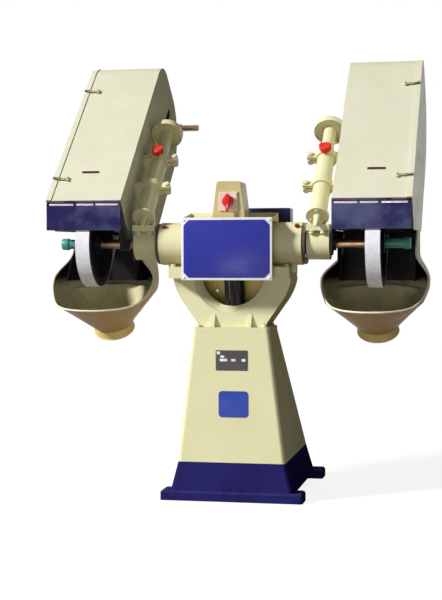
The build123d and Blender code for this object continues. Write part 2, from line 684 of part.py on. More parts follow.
def switch_box():
    foot = BOX_TOP - LID_RECESS
    front = SPINDLE_Y - SWITCH_FRONT
    outline = polygon((-SWITCH_FOOT_WIDTH / 2, foot), (SWITCH_FOOT_WIDTH / 2, foot),
                      (SWITCH_TOP_WIDTH / 2, SWITCH_TOP), (-SWITCH_TOP_WIDTH / 2, SWITCH_TOP))
    box = slab_y(outline, front, front + SWITCH_DEPTH)
    box = fillet(box.edges().filter_by(Axis.Y).group_by(Axis.Z)[-1], 2 * SWITCH_WALL)
    foot_room = SWITCH_FOOT_WIDTH / 2 - SWITCH_WALL
    top_room = SWITCH_TOP_WIDTH / 2 - SWITCH_WALL
    open_foot = foot - CUT_PAST
    inner = polygon((-foot_room, open_foot), (foot_room, open_foot), (top_room, SWITCH_TOP - SWITCH_WALL),
                    (-top_room, SWITCH_TOP - SWITCH_WALL))
    box -= slab_y(inner, front + SWITCH_WALL, front + SWITCH_DEPTH - SWITCH_WALL)
    return box - switch_stem_hole()


def switch_centre():
    """Height of the switch knob's axis."""
    return SWITCH_TOP - SWITCH_PLATE_BELOW_TOP


def switch_stem_hole():
    front = SPINDLE_Y - SWITCH_FRONT
    return rod_y(KNOB_STEM_RADIUS + RUNNING_GAP, front - 2 * SWITCH_PLATE_THICKNESS, front + 2 * SWITCH_WALL,
                 0, switch_centre())


def switch_plate():
    front = SPINDLE_Y - SWITCH_FRONT
    half = SWITCH_PLATE_SIZE / 2
    plate = block(-half, half, front - SWITCH_PLATE_THICKNESS, front, switch_centre() - half,
                  switch_centre() + half)
    plate = chamfer(plate.faces().sort_by(Axis.Y)[0].edges(), SWITCH_PLATE_THICKNESS / 4)
    return plate - switch_stem_hole()


def switch_knob():
    face = SPINDLE_Y - SWITCH_FRONT - SWITCH_PLATE_THICKNESS - PART_GAP
    outline = hull_of(disc(KNOB_RADIUS, 0, switch_centre()),
                      disc(KNOB_RADIUS / 4, 0, switch_centre() - KNOB_POINTER))
    knob = slab_y(outline, face - KNOB_HEIGHT, face)
    knob = chamfer(knob.faces().sort_by(Axis.Y)[0].edges(), KNOB_HEIGHT / 8)
    stem_end = face + SWITCH_PLATE_THICKNESS + SWITCH_WALL
    return knob + rod_y(KNOB_STEM_RADIUS, face, stem_end, 0, switch_centre())


def sign_plate():
    front = SPINDLE_Y - BOX_FRONT
    middle = SPINDLE_HEIGHT - SIGN_CENTRE_BELOW
    plate = block(-SIGN_WIDTH / 2, SIGN_WIDTH / 2, front - SIGN_THICKNESS, front, middle - SIGN_HEIGHT / 2,
                  middle + SIGN_HEIGHT / 2)
    for x, z in sign_screws():
        plate -= rod_y(SCREW_RADIUS + PRESS_GAP, front - 2 * SIGN_THICKNESS, front + CUT_PAST, x, z)
    return plate


def grease_cups():
    cups = []
    for side in (-1, 1):
        base = SPINDLE_HEIGHT + HEAD_TUBE_RADIUS - PRESS_GAP
        x = side * grease_cup_x()
        cup = rod_z(GREASE_CUP_RADIUS, base, base + GREASE_CUP_HEIGHT, x, SPINDLE_Y)
        cup = fillet(cup.edges().group_by(Axis.Z)[-1], GREASE_CUP_RADIUS / 2)
        cup -= rod_x(HEAD_TUBE_RADIUS + PRESS_GAP, x - 2 * GREASE_CUP_RADIUS, x + 2 * GREASE_CUP_RADIUS,
                     SPINDLE_Y, SPINDLE_HEIGHT)
        cup += rod_z(SCREW_RADIUS, base - GREASE_CUP_HEIGHT, base + SCREW_HEAD, x, SPINDLE_Y)
        cups.append(cup)
    return group(*cups)


def control_box():
    front = SPINDLE_Y + BOX_BACK
    left = CONTROL_BOX_RIGHT - CONTROL_BOX_WIDTH
    bottom = CONTROL_BOX_TOP - CONTROL_BOX_HEIGHT
    wall = CONTROL_BOX_WALL
    box = block(left, CONTROL_BOX_RIGHT, front, front + CONTROL_BOX_DEPTH, bottom, CONTROL_BOX_TOP)
    box = fillet(box.edges().filter_by(Axis.Y), 2 * wall)
    room = block(left + wall, CONTROL_BOX_RIGHT - wall, front + wall, front + CONTROL_BOX_DEPTH - wall,
                 bottom + wall, CONTROL_BOX_TOP - wall)
    return box - room


def casting_bolts():
    """Bolts of the cradle's foot, the head's lugs and the back plate."""
    bolts = []
    foot_top = COLUMN_TOP + CRADLE_FOOT
    for x, y in cradle_foot_bolts():
        bolts.append(bolt_down(x, y, foot_top, CRADLE_FOOT + CASTING_WALL))
    for x, y in lug_bolts():
        bolts.append(bolt_down(x, y, HEAD_BOTTOM + LUG_THICKNESS, LUG_THICKNESS + 2 * BOLT_HEAD))
    face = COLUMN_TOP_BACK - BACK_PLATE
    for x, z in back_plate_bolts():
        bolts.append(rod_y(BOLT_HEAD_RADIUS, face - BOLT_HEAD, face, x, z)
                     + rod_y(BOLT_RADIUS, face, face + BACK_PLATE, x, z))
    return bolts


def plate_screws():
    """Screws of the sign plate, the access cover and the bearing noses."""
    screws = []
    sign_face = SPINDLE_Y - BOX_FRONT - SIGN_THICKNESS
    for x, z in sign_screws():
        screws.append(rod_y(SCREW_HEAD_RADIUS, sign_face - SCREW_HEAD, sign_face, x, z)
                      + rod_y(SCREW_RADIUS, sign_face, sign_face + SIGN_THICKNESS + BOX_WALL / 2, x, z))
    for x, y in access_screw_places():
        screw = Pos(x, y, ACCESS_THICKNESS + SCREW_HEAD / 2) * Cylinder(SCREW_HEAD_RADIUS, SCREW_HEAD)
        screw += Pos(x, y, (ACCESS_THICKNESS - CASTING_WALL) / 2) * Cylinder(SCREW_RADIUS,
                                                                              ACCESS_THICKNESS + CASTING_WALL)
        screws.append(access_plane() * screw)
    seat = HEAD_HALF_LENGTH + NOSE_FLANGE
    for y, z in nose_screws():
        screw = rod_x(SCREW_HEAD_RADIUS, seat, seat + SCREW_HEAD, y, z)
        screw += rod_x(SCREW_RADIUS, seat - 2 * NOSE_FLANGE, seat, y, z)
        screws.append(SPINDLE_PLACE * screw)
        screws.append(mirrored(SPINDLE_PLACE * screw))
    return screws


def base_fasteners():
    return group(*casting_bolts(), *plate_screws())


# Drive

def pulley(radius, bore):
    """A grooved pulley about the X axis."""
    wheel = rod_x(radius, -PULLEY_WIDTH / 2, PULLEY_WIDTH / 2)
    half = DRIVE_BELT_WIDTH / 2 + BELT_GAP
    for centre in groove_centres():
        groove = rod_x(radius + CUT_PAST, centre - half, centre + half)
        wheel -= groove - rod_x(radius - GROOVE_DEPTH, centre - 2 * half, centre + 2 * half)
    return wheel - rod_x(bore, -PULLEY_WIDTH, PULLEY_WIDTH)


def groove_centres():
    """Places of the drive belts along the spindle."""
    return [(index - (GROOVE_COUNT - 1) / 2) * GROOVE_PITCH for index in range(GROOVE_COUNT)]


def drive_belts():
    top = (SPINDLE_Y, SPINDLE_HEIGHT)
    low = (MOTOR_Y, MOTOR_Z)
    top_inner = SPINDLE_PULLEY_RADIUS - GROOVE_DEPTH + BELT_GAP
    low_inner = MOTOR_PULLEY_RADIUS - GROOVE_DEPTH + BELT_GAP
    outside = hull_of(disc(top_inner + DRIVE_BELT_DEPTH, *top), disc(low_inner + DRIVE_BELT_DEPTH, *low))
    inside = hull_of(disc(top_inner, *top), disc(low_inner, *low))
    half = DRIVE_BELT_WIDTH / 2
    belts = [slab_x(outside, x - half, x + half) - slab_x(inside, x - half - CUT_PAST, x + half + CUT_PAST)
             for x in groove_centres()]
    return group(*belts)


def motor():
    floor = BAR_HEIGHT + FLOOR_PLATE
    start = PULLEY_WIDTH / 2 + PULLEY_CHEEK
    end = start + MOTOR_LENGTH
    body = rod_x(MOTOR_RADIUS, start, end, MOTOR_Y, MOTOR_Z)
    body = fillet(body.edges().filter_by(GeomType.CIRCLE), MOTOR_FOOT_THICKNESS / 2)
    for side in (-1, 1):
        centre = MOTOR_Y + side * MOTOR_FOOT_SPREAD
        half = MOTOR_FOOT_THICKNESS
        inset = MOTOR_FOOT_THICKNESS
        body += block(start + inset, end - inset, centre - half, centre + half, floor, MOTOR_Z)
        body += block(start + inset, end - inset, centre - 2 * half, centre + 2 * half, floor,
                      floor + MOTOR_FOOT_THICKNESS)
    bore = MOTOR_SHAFT_RADIUS + RUNNING_GAP
    return body - rod_x(bore, start - CUT_PAST, end - MOTOR_FOOT_THICKNESS, MOTOR_Y, MOTOR_Z)


def motor_shaft():
    start = -PULLEY_WIDTH / 2
    end = PULLEY_WIDTH / 2 + PULLEY_CHEEK + MOTOR_LENGTH - MOTOR_FOOT_THICKNESS - PART_GAP
    return rod_x(MOTOR_SHAFT_RADIUS, start, end, MOTOR_Y, MOTOR_Z)


def motor_pulley():
    return Pos(0, MOTOR_Y, MOTOR_Z) * pulley(MOTOR_PULLEY_RADIUS, MOTOR_SHAFT_RADIUS + PRESS_GAP)


def spindle_pulley():
    return SPINDLE_PLACE * pulley(SPINDLE_PULLEY_RADIUS, SHAFT_MIDDLE_RADIUS + PRESS_GAP)


def spindle_shaft():
    shoulder = HEAD_HALF_LENGTH - BEARING_WIDTH / 2 - BEARING_WIDTH - PART_GAP
    step = HEAD_HALF_LENGTH + NOSE_FLANGE
    end = SLEEVE_END - SHAFT_END_SHORT
    shaft = rod_x(SHAFT_MIDDLE_RADIUS, -shoulder, shoulder)
    shaft += rod_x(SHAFT_BEARING_RADIUS, -step, step)
    shaft += rod_x(SHAFT_RADIUS, -end, end)
    return SPINDLE_PLACE * shaft


def contact_wheel():
    """The right-hand contact wheel's metal hub, web and rim."""
    rim = WHEEL_RADIUS - TYRE_DEPTH - PRESS_GAP
    half = WHEEL_WIDTH / 2
    wheel = rod_x(rim, WHEEL_X - half, WHEEL_X + half)
    hollow = rod_x(rim - WHEEL_RIM, WHEEL_X - half - CUT_PAST, WHEEL_X + half + CUT_PAST)
    wheel -= hollow - rod_x(rim, WHEEL_X - WHEEL_WEB / 2, WHEEL_X + WHEEL_WEB / 2)
    wheel += rod_x(HUB_RADIUS, WHEEL_X - HUB_LENGTH / 2, WHEEL_X + HUB_LENGTH / 2)
    bore = rod_x(SHAFT_RADIUS + PRESS_GAP, WHEEL_X - HUB_LENGTH, WHEEL_X + HUB_LENGTH)
    return SPINDLE_PLACE * (wheel - bore)


def wheel_tyre():
    """The rubber tyre of the right-hand contact wheel."""
    half = WHEEL_WIDTH / 2
    tyre = rod_x(WHEEL_RADIUS, WHEEL_X - half, WHEEL_X + half)
    seat = rod_x(WHEEL_RADIUS - TYRE_DEPTH, WHEEL_X - WHEEL_WIDTH, WHEEL_X + WHEEL_WIDTH)
    return SPINDLE_PLACE * (tyre - seat)


def end_sleeve():
    """The long round nut at the right-hand end of the spindle."""
    sleeve = rod_x(SLEEVE_RADIUS, SLEEVE_START, SLEEVE_END)
    sleeve = chamfer(sleeve.edges().filter_by(GeomType.CIRCLE), SLEEVE_RADIUS / 10)
    bore_end = SLEEVE_END - SHAFT_END_SHORT + PART_GAP
    sleeve -= rod_x(SHAFT_RADIUS + PRESS_GAP, SLEEVE_START - CUT_PAST, bore_end)
    return SPINDLE_PLACE * sleeve


# Arm of the right-hand station

def collar_bolts():
    """Places of the bolts that join bracket and collar, as across and depth from the spindle axis."""
    across = COLLAR_WIDTH / 4
    return [(TUBE_X + x, y) for x in (-across, across) for y in (-COLLAR_BOLT_SPREAD, COLLAR_BOLT_SPREAD)]


def arm_collar():
    collar = rod_x(COLLAR_RADIUS, COLLAR_INNER, COLLAR_OUTER)
    collar += block(COLLAR_INNER, COLLAR_OUTER, -PAD_HALF_DEPTH, PAD_HALF_DEPTH, PAD_LOW, PAD_HIGH)
    collar += block(COLLAR_INNER, COLLAR_OUTER, -COLLAR_RADIUS / 2, COLLAR_RADIUS / 2, 0, PAD_HIGH)
    collar -= rod_x(NOSE_RADIUS + RUNNING_GAP, COLLAR_INNER - CUT_PAST, COLLAR_OUTER + CUT_PAST)
    slit = COLLAR_SLIT / 2
    collar -= block(COLLAR_INNER - CUT_PAST, COLLAR_OUTER + CUT_PAST, 0, 2 * COLLAR_RADIUS, -slit, slit)
    for x, y in collar_bolts():
        collar -= bolt_hole(x, y, PAD_LOW - CUT_PAST, PAD_HIGH + CUT_PAST)
        collar -= rod_z(BOLT_HEAD_RADIUS + PART_GAP, PAD_LOW - BOLT_HEAD - PART_GAP, PAD_LOW, x, y)
    return SPINDLE_PLACE * collar


def arm_bracket():
    """The bracket on the collar's pad, with the tension tube and its end flange."""
    foot_top = PAD_HIGH + BRACKET_FOOT
    foot = block(COLLAR_INNER, COLLAR_OUTER, -PAD_HALF_DEPTH, PAD_HALF_DEPTH, PAD_HIGH, foot_top)
    web_half = PAD_HALF_DEPTH - 2 * BOLT_HEAD_RADIUS
    web = polygon((-web_half, PAD_HIGH), (web_half, PAD_HIGH),
                  arm_point(TUBE_AHEAD, TUBE_FOOT + 3 * TUBE_RADIUS), arm_point(TUBE_AHEAD, TUBE_FOOT))
    body = foot + slab_x(web, TUBE_X - BRACKET_WEB / 2, TUBE_X + BRACKET_WEB / 2)
    for x, y in collar_bolts():
        body -= bolt_hole(x, y, PAD_HIGH - CUT_PAST, foot_top + CUT_PAST)
    lean = Rot(-ARM_LEAN, 0, 0)
    body += lean * rod_z(TUBE_RADIUS, TUBE_FOOT, TUBE_TOP, TUBE_X, -TUBE_AHEAD)
    body += lean * rod_z(FLANGE_RADIUS, TUBE_FOOT - FLANGE_THICKNESS, TUBE_FOOT, TUBE_X, -TUBE_AHEAD)
    bore = SLIDE_RADIUS + SLIDING_GAP
    body -= lean * rod_z(bore, TUBE_FOOT + TUBE_FLOOR, TUBE_TOP + CUT_PAST, TUBE_X, -TUBE_AHEAD)
    body -= lean * lock_stem_hole()
    below = TUBE_FOOT - FLANGE_THICKNESS - CUT_PAST
    for x, y in flange_screws():
        body -= lean * rod_z(SCREW_RADIUS + PRESS_GAP, below, TUBE_FOOT, x, y)
    body -= lean * rod_z(BOLT_RADIUS + PRESS_GAP, below, TUBE_FOOT, TUBE_X, -TUBE_AHEAD)
    return SPINDLE_PLACE * body


def flange_screws():
    """Screws of the tube's end flange."""
    circle = (FLANGE_RADIUS + CONE_RADIUS + SCREW_HEAD_RADIUS) / 2
    spots = []
    for turn in range(3):
        angle = math.radians(30 + 120 * turn)
        spots.append((TUBE_X + circle * math.cos(angle), -TUBE_AHEAD + circle * math.sin(angle)))
    return spots


def lock_stem_hole():
    """The hole through clamp and tube for the lock knob's stem, in the upright arm."""
    return rod_y(LOCK_STEM_RADIUS + RUNNING_GAP, -TUBE_AHEAD - 2 * CLAMP_RADIUS, -TUBE_AHEAD, TUBE_X,
                 CLAMP_HIGH_PLACE)


def arm_bolts():
    bolts = []
    for x, y in collar_bolts():
        bolts.append(SPINDLE_PLACE * (rod_z(BOLT_HEAD_RADIUS, PAD_LOW - BOLT_HEAD, PAD_LOW, x, y)
                                      + rod_z(BOLT_RADIUS, PAD_LOW, PAD_HIGH + BRACKET_FOOT, x, y)))
    seat = TUBE_FOOT - FLANGE_THICKNESS
    for x, y in flange_screws():
        bolts.append(ARM_PLACE * (rod_z(SCREW_HEAD_RADIUS, seat - SCREW_HEAD, seat, x, y)
                                  + rod_z(SCREW_RADIUS, seat, TUBE_FOOT, x, y)))
    cone = Pos(TUBE_X, -TUBE_AHEAD, seat - CONE_LENGTH / 2) * Cone(CONE_RADIUS / 2, CONE_RADIUS, CONE_LENGTH)
    bolts.append(ARM_PLACE * (cone + rod_z(BOLT_RADIUS, seat, TUBE_FOOT, TUBE_X, -TUBE_AHEAD)))
    return group(*bolts)


def slide_tube():
    tube = rod_z(SLIDE_RADIUS, SLIDE_FOOT, DISC_PLACE, TUBE_X, -TUBE_AHEAD)
    tube -= rod_z(SLIDE_BORE, SLIDE_FOOT - CUT_PAST, DISC_PLACE, TUBE_X, -TUBE_AHEAD)
    plate = rod_z(DISC_RADIUS, DISC_PLACE, DISC_PLACE + DISC_THICKNESS, TUBE_X, -TUBE_AHEAD)
    return ARM_PLACE * (tube + fillet(plate.edges().filter_by(GeomType.CIRCLE), DISC_THICKNESS / 4))


def tension_spring():
    low = TUBE_FOOT + TUBE_FLOOR
    outer = SLIDE_RADIUS - PART_GAP
    spring = rod_z(outer, low, SLIDE_FOOT - PART_GAP, TUBE_X, -TUBE_AHEAD)
    return ARM_PLACE * (spring - rod_z(outer - SPRING_WALL, low - CUT_PAST, SLIDE_FOOT, TUBE_X, -TUBE_AHEAD))


def idler_bracket():
    """The carrier on the slide tube's disc that holds the idler axle on the belt's centre line."""
    seat = DISC_PLACE + DISC_THICKNESS
    low = disc(CARRIER_ROUND, -TUBE_AHEAD, seat + CARRIER_ROUND)
    high = disc(CARRIER_ROUND, 0, IDLER_PLACE)
    half = CARRIER_WIDTH / 2
    carrier = slab_x(hull_of(low, high), TUBE_X - half, TUBE_X + half)
    carrier += rod_x(CARRIER_ROUND, TUBE_X - CARRIER_BOSS_LENGTH / 2, TUBE_X + CARRIER_BOSS_LENGTH / 2, 0,
                     IDLER_PLACE)
    carrier += rod_z(CARRIER_FOOT_RADIUS, seat, seat + CARRIER_FOOT, TUBE_X, -TUBE_AHEAD)
    bore = rod_x(AXLE_RADIUS + PRESS_GAP, TUBE_X - CARRIER_BOSS_LENGTH, TUBE_X + CARRIER_BOSS_LENGTH, 0,
                 IDLER_PLACE)
    return ARM_PLACE * (carrier - bore)


def idler_axle():
    outer = WHEEL_X + SANDING_BELT_WIDTH / 2 + PART_GAP
    axle = rod_x(AXLE_RADIUS, AXLE_INNER_END, outer + AXLE_NUT_LENGTH, 0, IDLER_PLACE)
    axle += rod_x(AXLE_NUT_RADIUS, outer, outer + AXLE_NUT_LENGTH, 0, IDLER_PLACE)
    inner = WHEEL_X - SANDING_BELT_WIDTH / 2 - PART_GAP
    axle += rod_x(AXLE_NUT_RADIUS, inner - AXLE_NUT_LENGTH, inner, 0, IDLER_PLACE)
    return ARM_PLACE * chamfer(axle.faces().sort_by(Axis.X)[0].edges(), AXLE_RADIUS / 6)


def idler_wheel():
    half = SANDING_BELT_WIDTH / 2
    wheel = rod_x(IDLER_RADIUS, WHEEL_X - half, WHEEL_X + half)
    hollow = rod_x(IDLER_RADIUS - IDLER_RIM, WHEEL_X - half - CUT_PAST, WHEEL_X + half + CUT_PAST)
    wheel -= hollow - rod_x(IDLER_RADIUS, WHEEL_X - WHEEL_WEB / 2, WHEEL_X + WHEEL_WEB / 2)
    wheel += rod_x(IDLER_HUB_RADIUS, WHEEL_X - half, WHEEL_X + half)
    bore = rod_x(AXLE_RADIUS + RUNNING_GAP, WHEEL_X - 2 * half, WHEEL_X + 2 * half)
    return ARM_PLACE * Pos(0, 0, IDLER_PLACE) * (wheel - bore)


def sanding_belt():
    wheel = WHEEL_RADIUS + BELT_GAP
    idler = IDLER_RADIUS + BELT_GAP
    thick = SANDING_BELT_THICKNESS
    outside = hull_of(disc(wheel + thick, 0, 0), disc(idler + thick, 0, IDLER_PLACE))
    inside = hull_of(disc(wheel, 0, 0), disc(idler, 0, IDLER_PLACE))
    half = SANDING_BELT_WIDTH / 2
    belt = slab_x(outside, WHEEL_X - half, WHEEL_X + half)
    return ARM_PLACE * (belt - slab_x(inside, WHEEL_X - half - CUT_PAST, WHEEL_X + half + CUT_PAST))


def lock_knob():
    """A three-lobed knob whose stem presses on the slide tube."""
    stem_end = -TUBE_AHEAD - SLIDE_RADIUS - PART_GAP
    base = -TUBE_AHEAD - CLAMP_RADIUS - PART_GAP
    top = base - LOCK_KNOB_HEIGHT
    knob = rod_y(LOCK_KNOB_RADIUS, top, base, TUBE_X, CLAMP_HIGH_PLACE)
    for turn in range(3):
        angle = math.radians(90 + 120 * turn)
        knob += rod_y(LOCK_LOBE_RADIUS, top, base, TUBE_X + LOCK_LOBE_OUT * math.cos(angle),
                      CLAMP_HIGH_PLACE + LOCK_LOBE_OUT * math.sin(angle))
    return ARM_PLACE * (knob + rod_y(LOCK_STEM_RADIUS, base, stem_end, TUBE_X, CLAMP_HIGH_PLACE))


def guard_clamp(place):
    """One split clamp round the tension tube, with its ears inwards and its block on the guard's side."""
    half = CLAMP_WIDTH / 2
    low, high = place - half, place + half
    ring = rod_z(CLAMP_RADIUS, low, high, TUBE_X, -TUBE_AHEAD)
    ear_half = CLAMP_EAR_DEPTH / 2
    ring += block(CLAMP_EAR_END, TUBE_X, -TUBE_AHEAD - ear_half, -TUBE_AHEAD + ear_half, low, high)
    block_half = CLAMP_BLOCK_DEPTH / 2
    ring += block(TUBE_X, GUARD_INNER, -TUBE_AHEAD - block_half, -TUBE_AHEAD + block_half, low, high)
    ring -= rod_z(TUBE_RADIUS + PRESS_GAP, low - CUT_PAST, high + CUT_PAST, TUBE_X, -TUBE_AHEAD)
    slit = CLAMP_SLIT / 2
    ring -= block(CLAMP_EAR_END - CUT_PAST, TUBE_X, -TUBE_AHEAD - slit, -TUBE_AHEAD + slit,
                  low - CUT_PAST, high + CUT_PAST)
    bolt_x = CLAMP_EAR_END + BOLT_HEAD_RADIUS
    bolt_front = -TUBE_AHEAD - 2 * ear_half
    bolt_back = -TUBE_AHEAD + 2 * ear_half
    return ring - rod_y(BOLT_RADIUS + PRESS_GAP, bolt_front, bolt_back, bolt_x, place)


def clamp_bolt(place):
    """The bolt and nut through a guard clamp's ears."""
    ear_half = CLAMP_EAR_DEPTH / 2
    bolt_x = CLAMP_EAR_END + BOLT_HEAD_RADIUS
    front = -TUBE_AHEAD - ear_half
    back = -TUBE_AHEAD + ear_half
    bolt = rod_y(BOLT_RADIUS, front, back + BOLT_HEAD, bolt_x, place)
    bolt += rod_y(BOLT_HEAD_RADIUS, front - BOLT_HEAD, front, bolt_x, place)
    return bolt + rod_y(BOLT_HEAD_RADIUS, back, back + BOLT_HEAD, bolt_x, place)


def guard_clamps():
    low = guard_clamp(CLAMP_LOW_PLACE)
    high = guard_clamp(CLAMP_HIGH_PLACE) - lock_stem_hole()
    bolts = [clamp_bolt(place) for place in (CLAMP_LOW_PLACE, CLAMP_HIGH_PLACE)]
    return ARM_PLACE * group(low, high, *bolts)


# Guard of the right-hand station

def bottom_along(ahead):
    """How far along the arm the guard's level bottom edge lies, at a distance ahead of the centre line."""
    return (GUARD_BOTTOM - ahead * LEAN_SINE) / LEAN_COSINE


def guard_outline(grow, foot_drop=0.0):
    """The guard's side outline in the upright arm, grown outwards; foot_drop lowers its open bottom."""
    front = PANEL_AHEAD + grow
    back = -BACK_BEHIND - grow
    foot = GUARD_FOOT - foot_drop
    knee = (GUARD_BOTTOM - GUARD_FOOT * LEAN_COSINE) / LEAN_SINE
    lower = polygon((-front, foot), (-knee, foot), (-back, bottom_along(back) - foot_drop),
                    (-back, CROWN_BACK_PLACE), (-front, CROWN_FRONT_PLACE))
    crown_front = disc(CROWN_FRONT_RADIUS + grow, CROWN_FRONT_RADIUS - PANEL_AHEAD, CROWN_FRONT_PLACE)
    crown_back = disc(CROWN_BACK_RADIUS + grow, BACK_BEHIND - CROWN_BACK_RADIUS, CROWN_BACK_PLACE)
    return lower + hull_of(crown_front, crown_back)


def door_axis():
    """The door hinge's place as X and depth, in the upright arm."""
    depth = BACK_BEHIND + SHEET_GAP + DOOR_SHEET + PART_GAP + DOOR_HINGE_RADIUS
    return (GUARD_OUTER - DOOR_LAP, depth)


def visor_axis():
    """The visor hinge's depth and height in the upright arm."""
    return (-PANEL_AHEAD + GUARD_SHEET / 2, GUARD_FOOT - VISOR_DROP)


def visor_segments():
    """The stretches of the visor's hinge, in turn on the guard and on the visor."""
    pitch = (GUARD_OUTER - DOOR_LAP - GUARD_INNER) / VISOR_KNUCKLES
    starts = [GUARD_INNER + pitch * index for index in range(VISOR_KNUCKLES)]
    return [(start, start + pitch) for start in starts]


def latch_axis():
    """The latch hinge's X and depth in the upright arm."""
    lever_low = PANEL_AHEAD + SHEET_GAP + DOOR_SHEET + PART_GAP
    return (GUARD_OUTER + DOOR_SHEET - LATCH_LENGTH, -lever_low - LATCH_THICKNESS / 2)


def axle_slot():
    low = IDLER_PLACE - SLIDE_DOWN - AXLE_SLOT_SPARE
    high = IDLER_PLACE + SLIDE_UP + AXLE_SLOT_SPARE
    half = AXLE_SLOT_WIDTH / 2
    outline = hull_of(disc(half, 0, low), disc(half, 0, high))
    return slab_x(outline, GUARD_INNER - CUT_PAST, GUARD_INNER + 2 * GUARD_SHEET)


def guard_shell():
    shell = slab_x(guard_outline(0), GUARD_INNER, GUARD_OUTER)
    room = guard_outline(-GUARD_SHEET, 2 * BACK_BEHIND)
    shell -= slab_x(room, GUARD_INNER + GUARD_SHEET, GUARD_OUTER + CUT_PAST)
    shell -= axle_slot()
    slot_half = SIGHT_SLOT_WIDTH / 2
    slot_low = SIGHT_SLOT_PLACE - SIGHT_SLOT_HEIGHT / 2
    slot_high = SIGHT_SLOT_PLACE + SIGHT_SLOT_HEIGHT / 2
    shell -= block(SIGHT_SLOT_X - slot_half, SIGHT_SLOT_X + slot_half, -PANEL_AHEAD - CUT_PAST,
                   -PANEL_AHEAD + 2 * GUARD_SHEET, slot_low, slot_high)
    shell += door_hinge_lugs() + visor_hinge_leaves() + latch_lugs()
    return ARM_PLACE * shell


def door_hinge_lugs():
    """Lugs on the guard's back, above and below each door knuckle, with the pin that joins them."""
    x, y = door_axis()
    lugs = []
    for place in DOOR_KNUCKLE_PLACES:
        half = DOOR_KNUCKLE_LENGTH / 2 + PART_GAP
        for start in (place - half - DOOR_HINGE_RADIUS, place + half):
            end = start + DOOR_HINGE_RADIUS
            lug = rod_z(DOOR_HINGE_RADIUS, start, end, x, y)
            lug += block(x - 2 * DOOR_HINGE_RADIUS, x - PART_GAP, BACK_BEHIND - GUARD_SHEET / 2,
                         y + DOOR_HINGE_RADIUS, start, end)
            lugs.append(lug)
        lugs.append(rod_z(DOOR_PIN_RADIUS, place - half - CUT_PAST, place + half + CUT_PAST, x, y))
    return sum(lugs[1:], lugs[0])


def visor_hinge_leaves():
    """Knuckles under the guard's front panel, with the pin of the visor."""
    y, z = visor_axis()
    segments = visor_segments()
    leaves = rod_x(VISOR_PIN_RADIUS, segments[0][0], segments[-1][1], y, z)
    for x0, x1 in segments[::2]:
        leaves += rod_x(VISOR_KNUCKLE_RADIUS, x0 + PART_GAP, x1 - PART_GAP, y, z)
        leaves += block(x0 + PART_GAP, x1 - PART_GAP, -PANEL_AHEAD, -PANEL_AHEAD + GUARD_SHEET, z,
                        GUARD_FOOT + CUT_PAST)
    return leaves


def latch_lugs():
    """Two lugs and a pin on the front panel for each latch lever."""
    x, y = latch_axis()
    lugs = []
    for place in LATCH_PLACES:
        half = LATCH_WIDTH / 2 + PART_GAP
        for start in (place - half - LATCH_LUG, place + half):
            lugs.append(block(x - LATCH_KNUCKLE_RADIUS, x + LATCH_KNUCKLE_RADIUS, y - LATCH_KNUCKLE_RADIUS,
                              -PANEL_AHEAD + GUARD_SHEET / 2, start, start + LATCH_LUG))
        lugs.append(rod_z(LATCH_PIN_RADIUS, place - half - CUT_PAST, place + half + CUT_PAST, x, y))
    return sum(lugs[1:], lugs[0])


def guard_door():
    inner = GUARD_OUTER + SHEET_GAP
    door = slab_x(guard_outline(SHEET_GAP + DOOR_SHEET), GUARD_OUTER - DOOR_LAP, inner + DOOR_SHEET)
    door -= slab_x(guard_outline(SHEET_GAP, 2 * BACK_BEHIND), GUARD_OUTER - DOOR_LAP - CUT_PAST, inner)
    x, y = door_axis()
    for place in DOOR_KNUCKLE_PLACES:
        half = DOOR_KNUCKLE_LENGTH / 2
        knuckle = rod_z(DOOR_HINGE_RADIUS, place - half, place + half, x, y)
        knuckle += block(x, x + 2 * DOOR_HINGE_RADIUS, BACK_BEHIND + SHEET_GAP + DOOR_SHEET / 2,
                         y, place - half, place + half)
        door += knuckle - rod_z(DOOR_PIN_RADIUS + RUNNING_GAP, place - 2 * half, place + 2 * half, x, y)
        door -= rod_z(DOOR_PIN_RADIUS + RUNNING_GAP, place - 2 * half, place + 2 * half, x, y)
    floor = block(GUARD_INNER, GUARD_OUTER + 2 * DOOR_LAP, -2 * PANEL_AHEAD, 2 * BACK_BEHIND,
                  GUARD_BOTTOM - PANEL_AHEAD, GUARD_BOTTOM + SHEET_GAP)
    return ARM_PLACE * door - SPINDLE_PLACE * floor


def latch_lever(place):
    """One lever that folds over the door's front flange."""
    x, y = latch_axis()
    low, high = place - LATCH_WIDTH / 2, place + LATCH_WIDTH / 2
    half = LATCH_THICKNESS / 2
    lever = rod_z(LATCH_KNUCKLE_RADIUS, low, high, x, y)
    lever += block(x, x + LATCH_LENGTH, y - half, y + half, low, high)
    return ARM_PLACE * (lever - rod_z(LATCH_PIN_RADIUS + RUNNING_GAP, low - CUT_PAST, high + CUT_PAST, x, y))


def lower_latch():
    return latch_lever(LATCH_PLACES[0])


def upper_latch():
    return latch_lever(LATCH_PLACES[1])


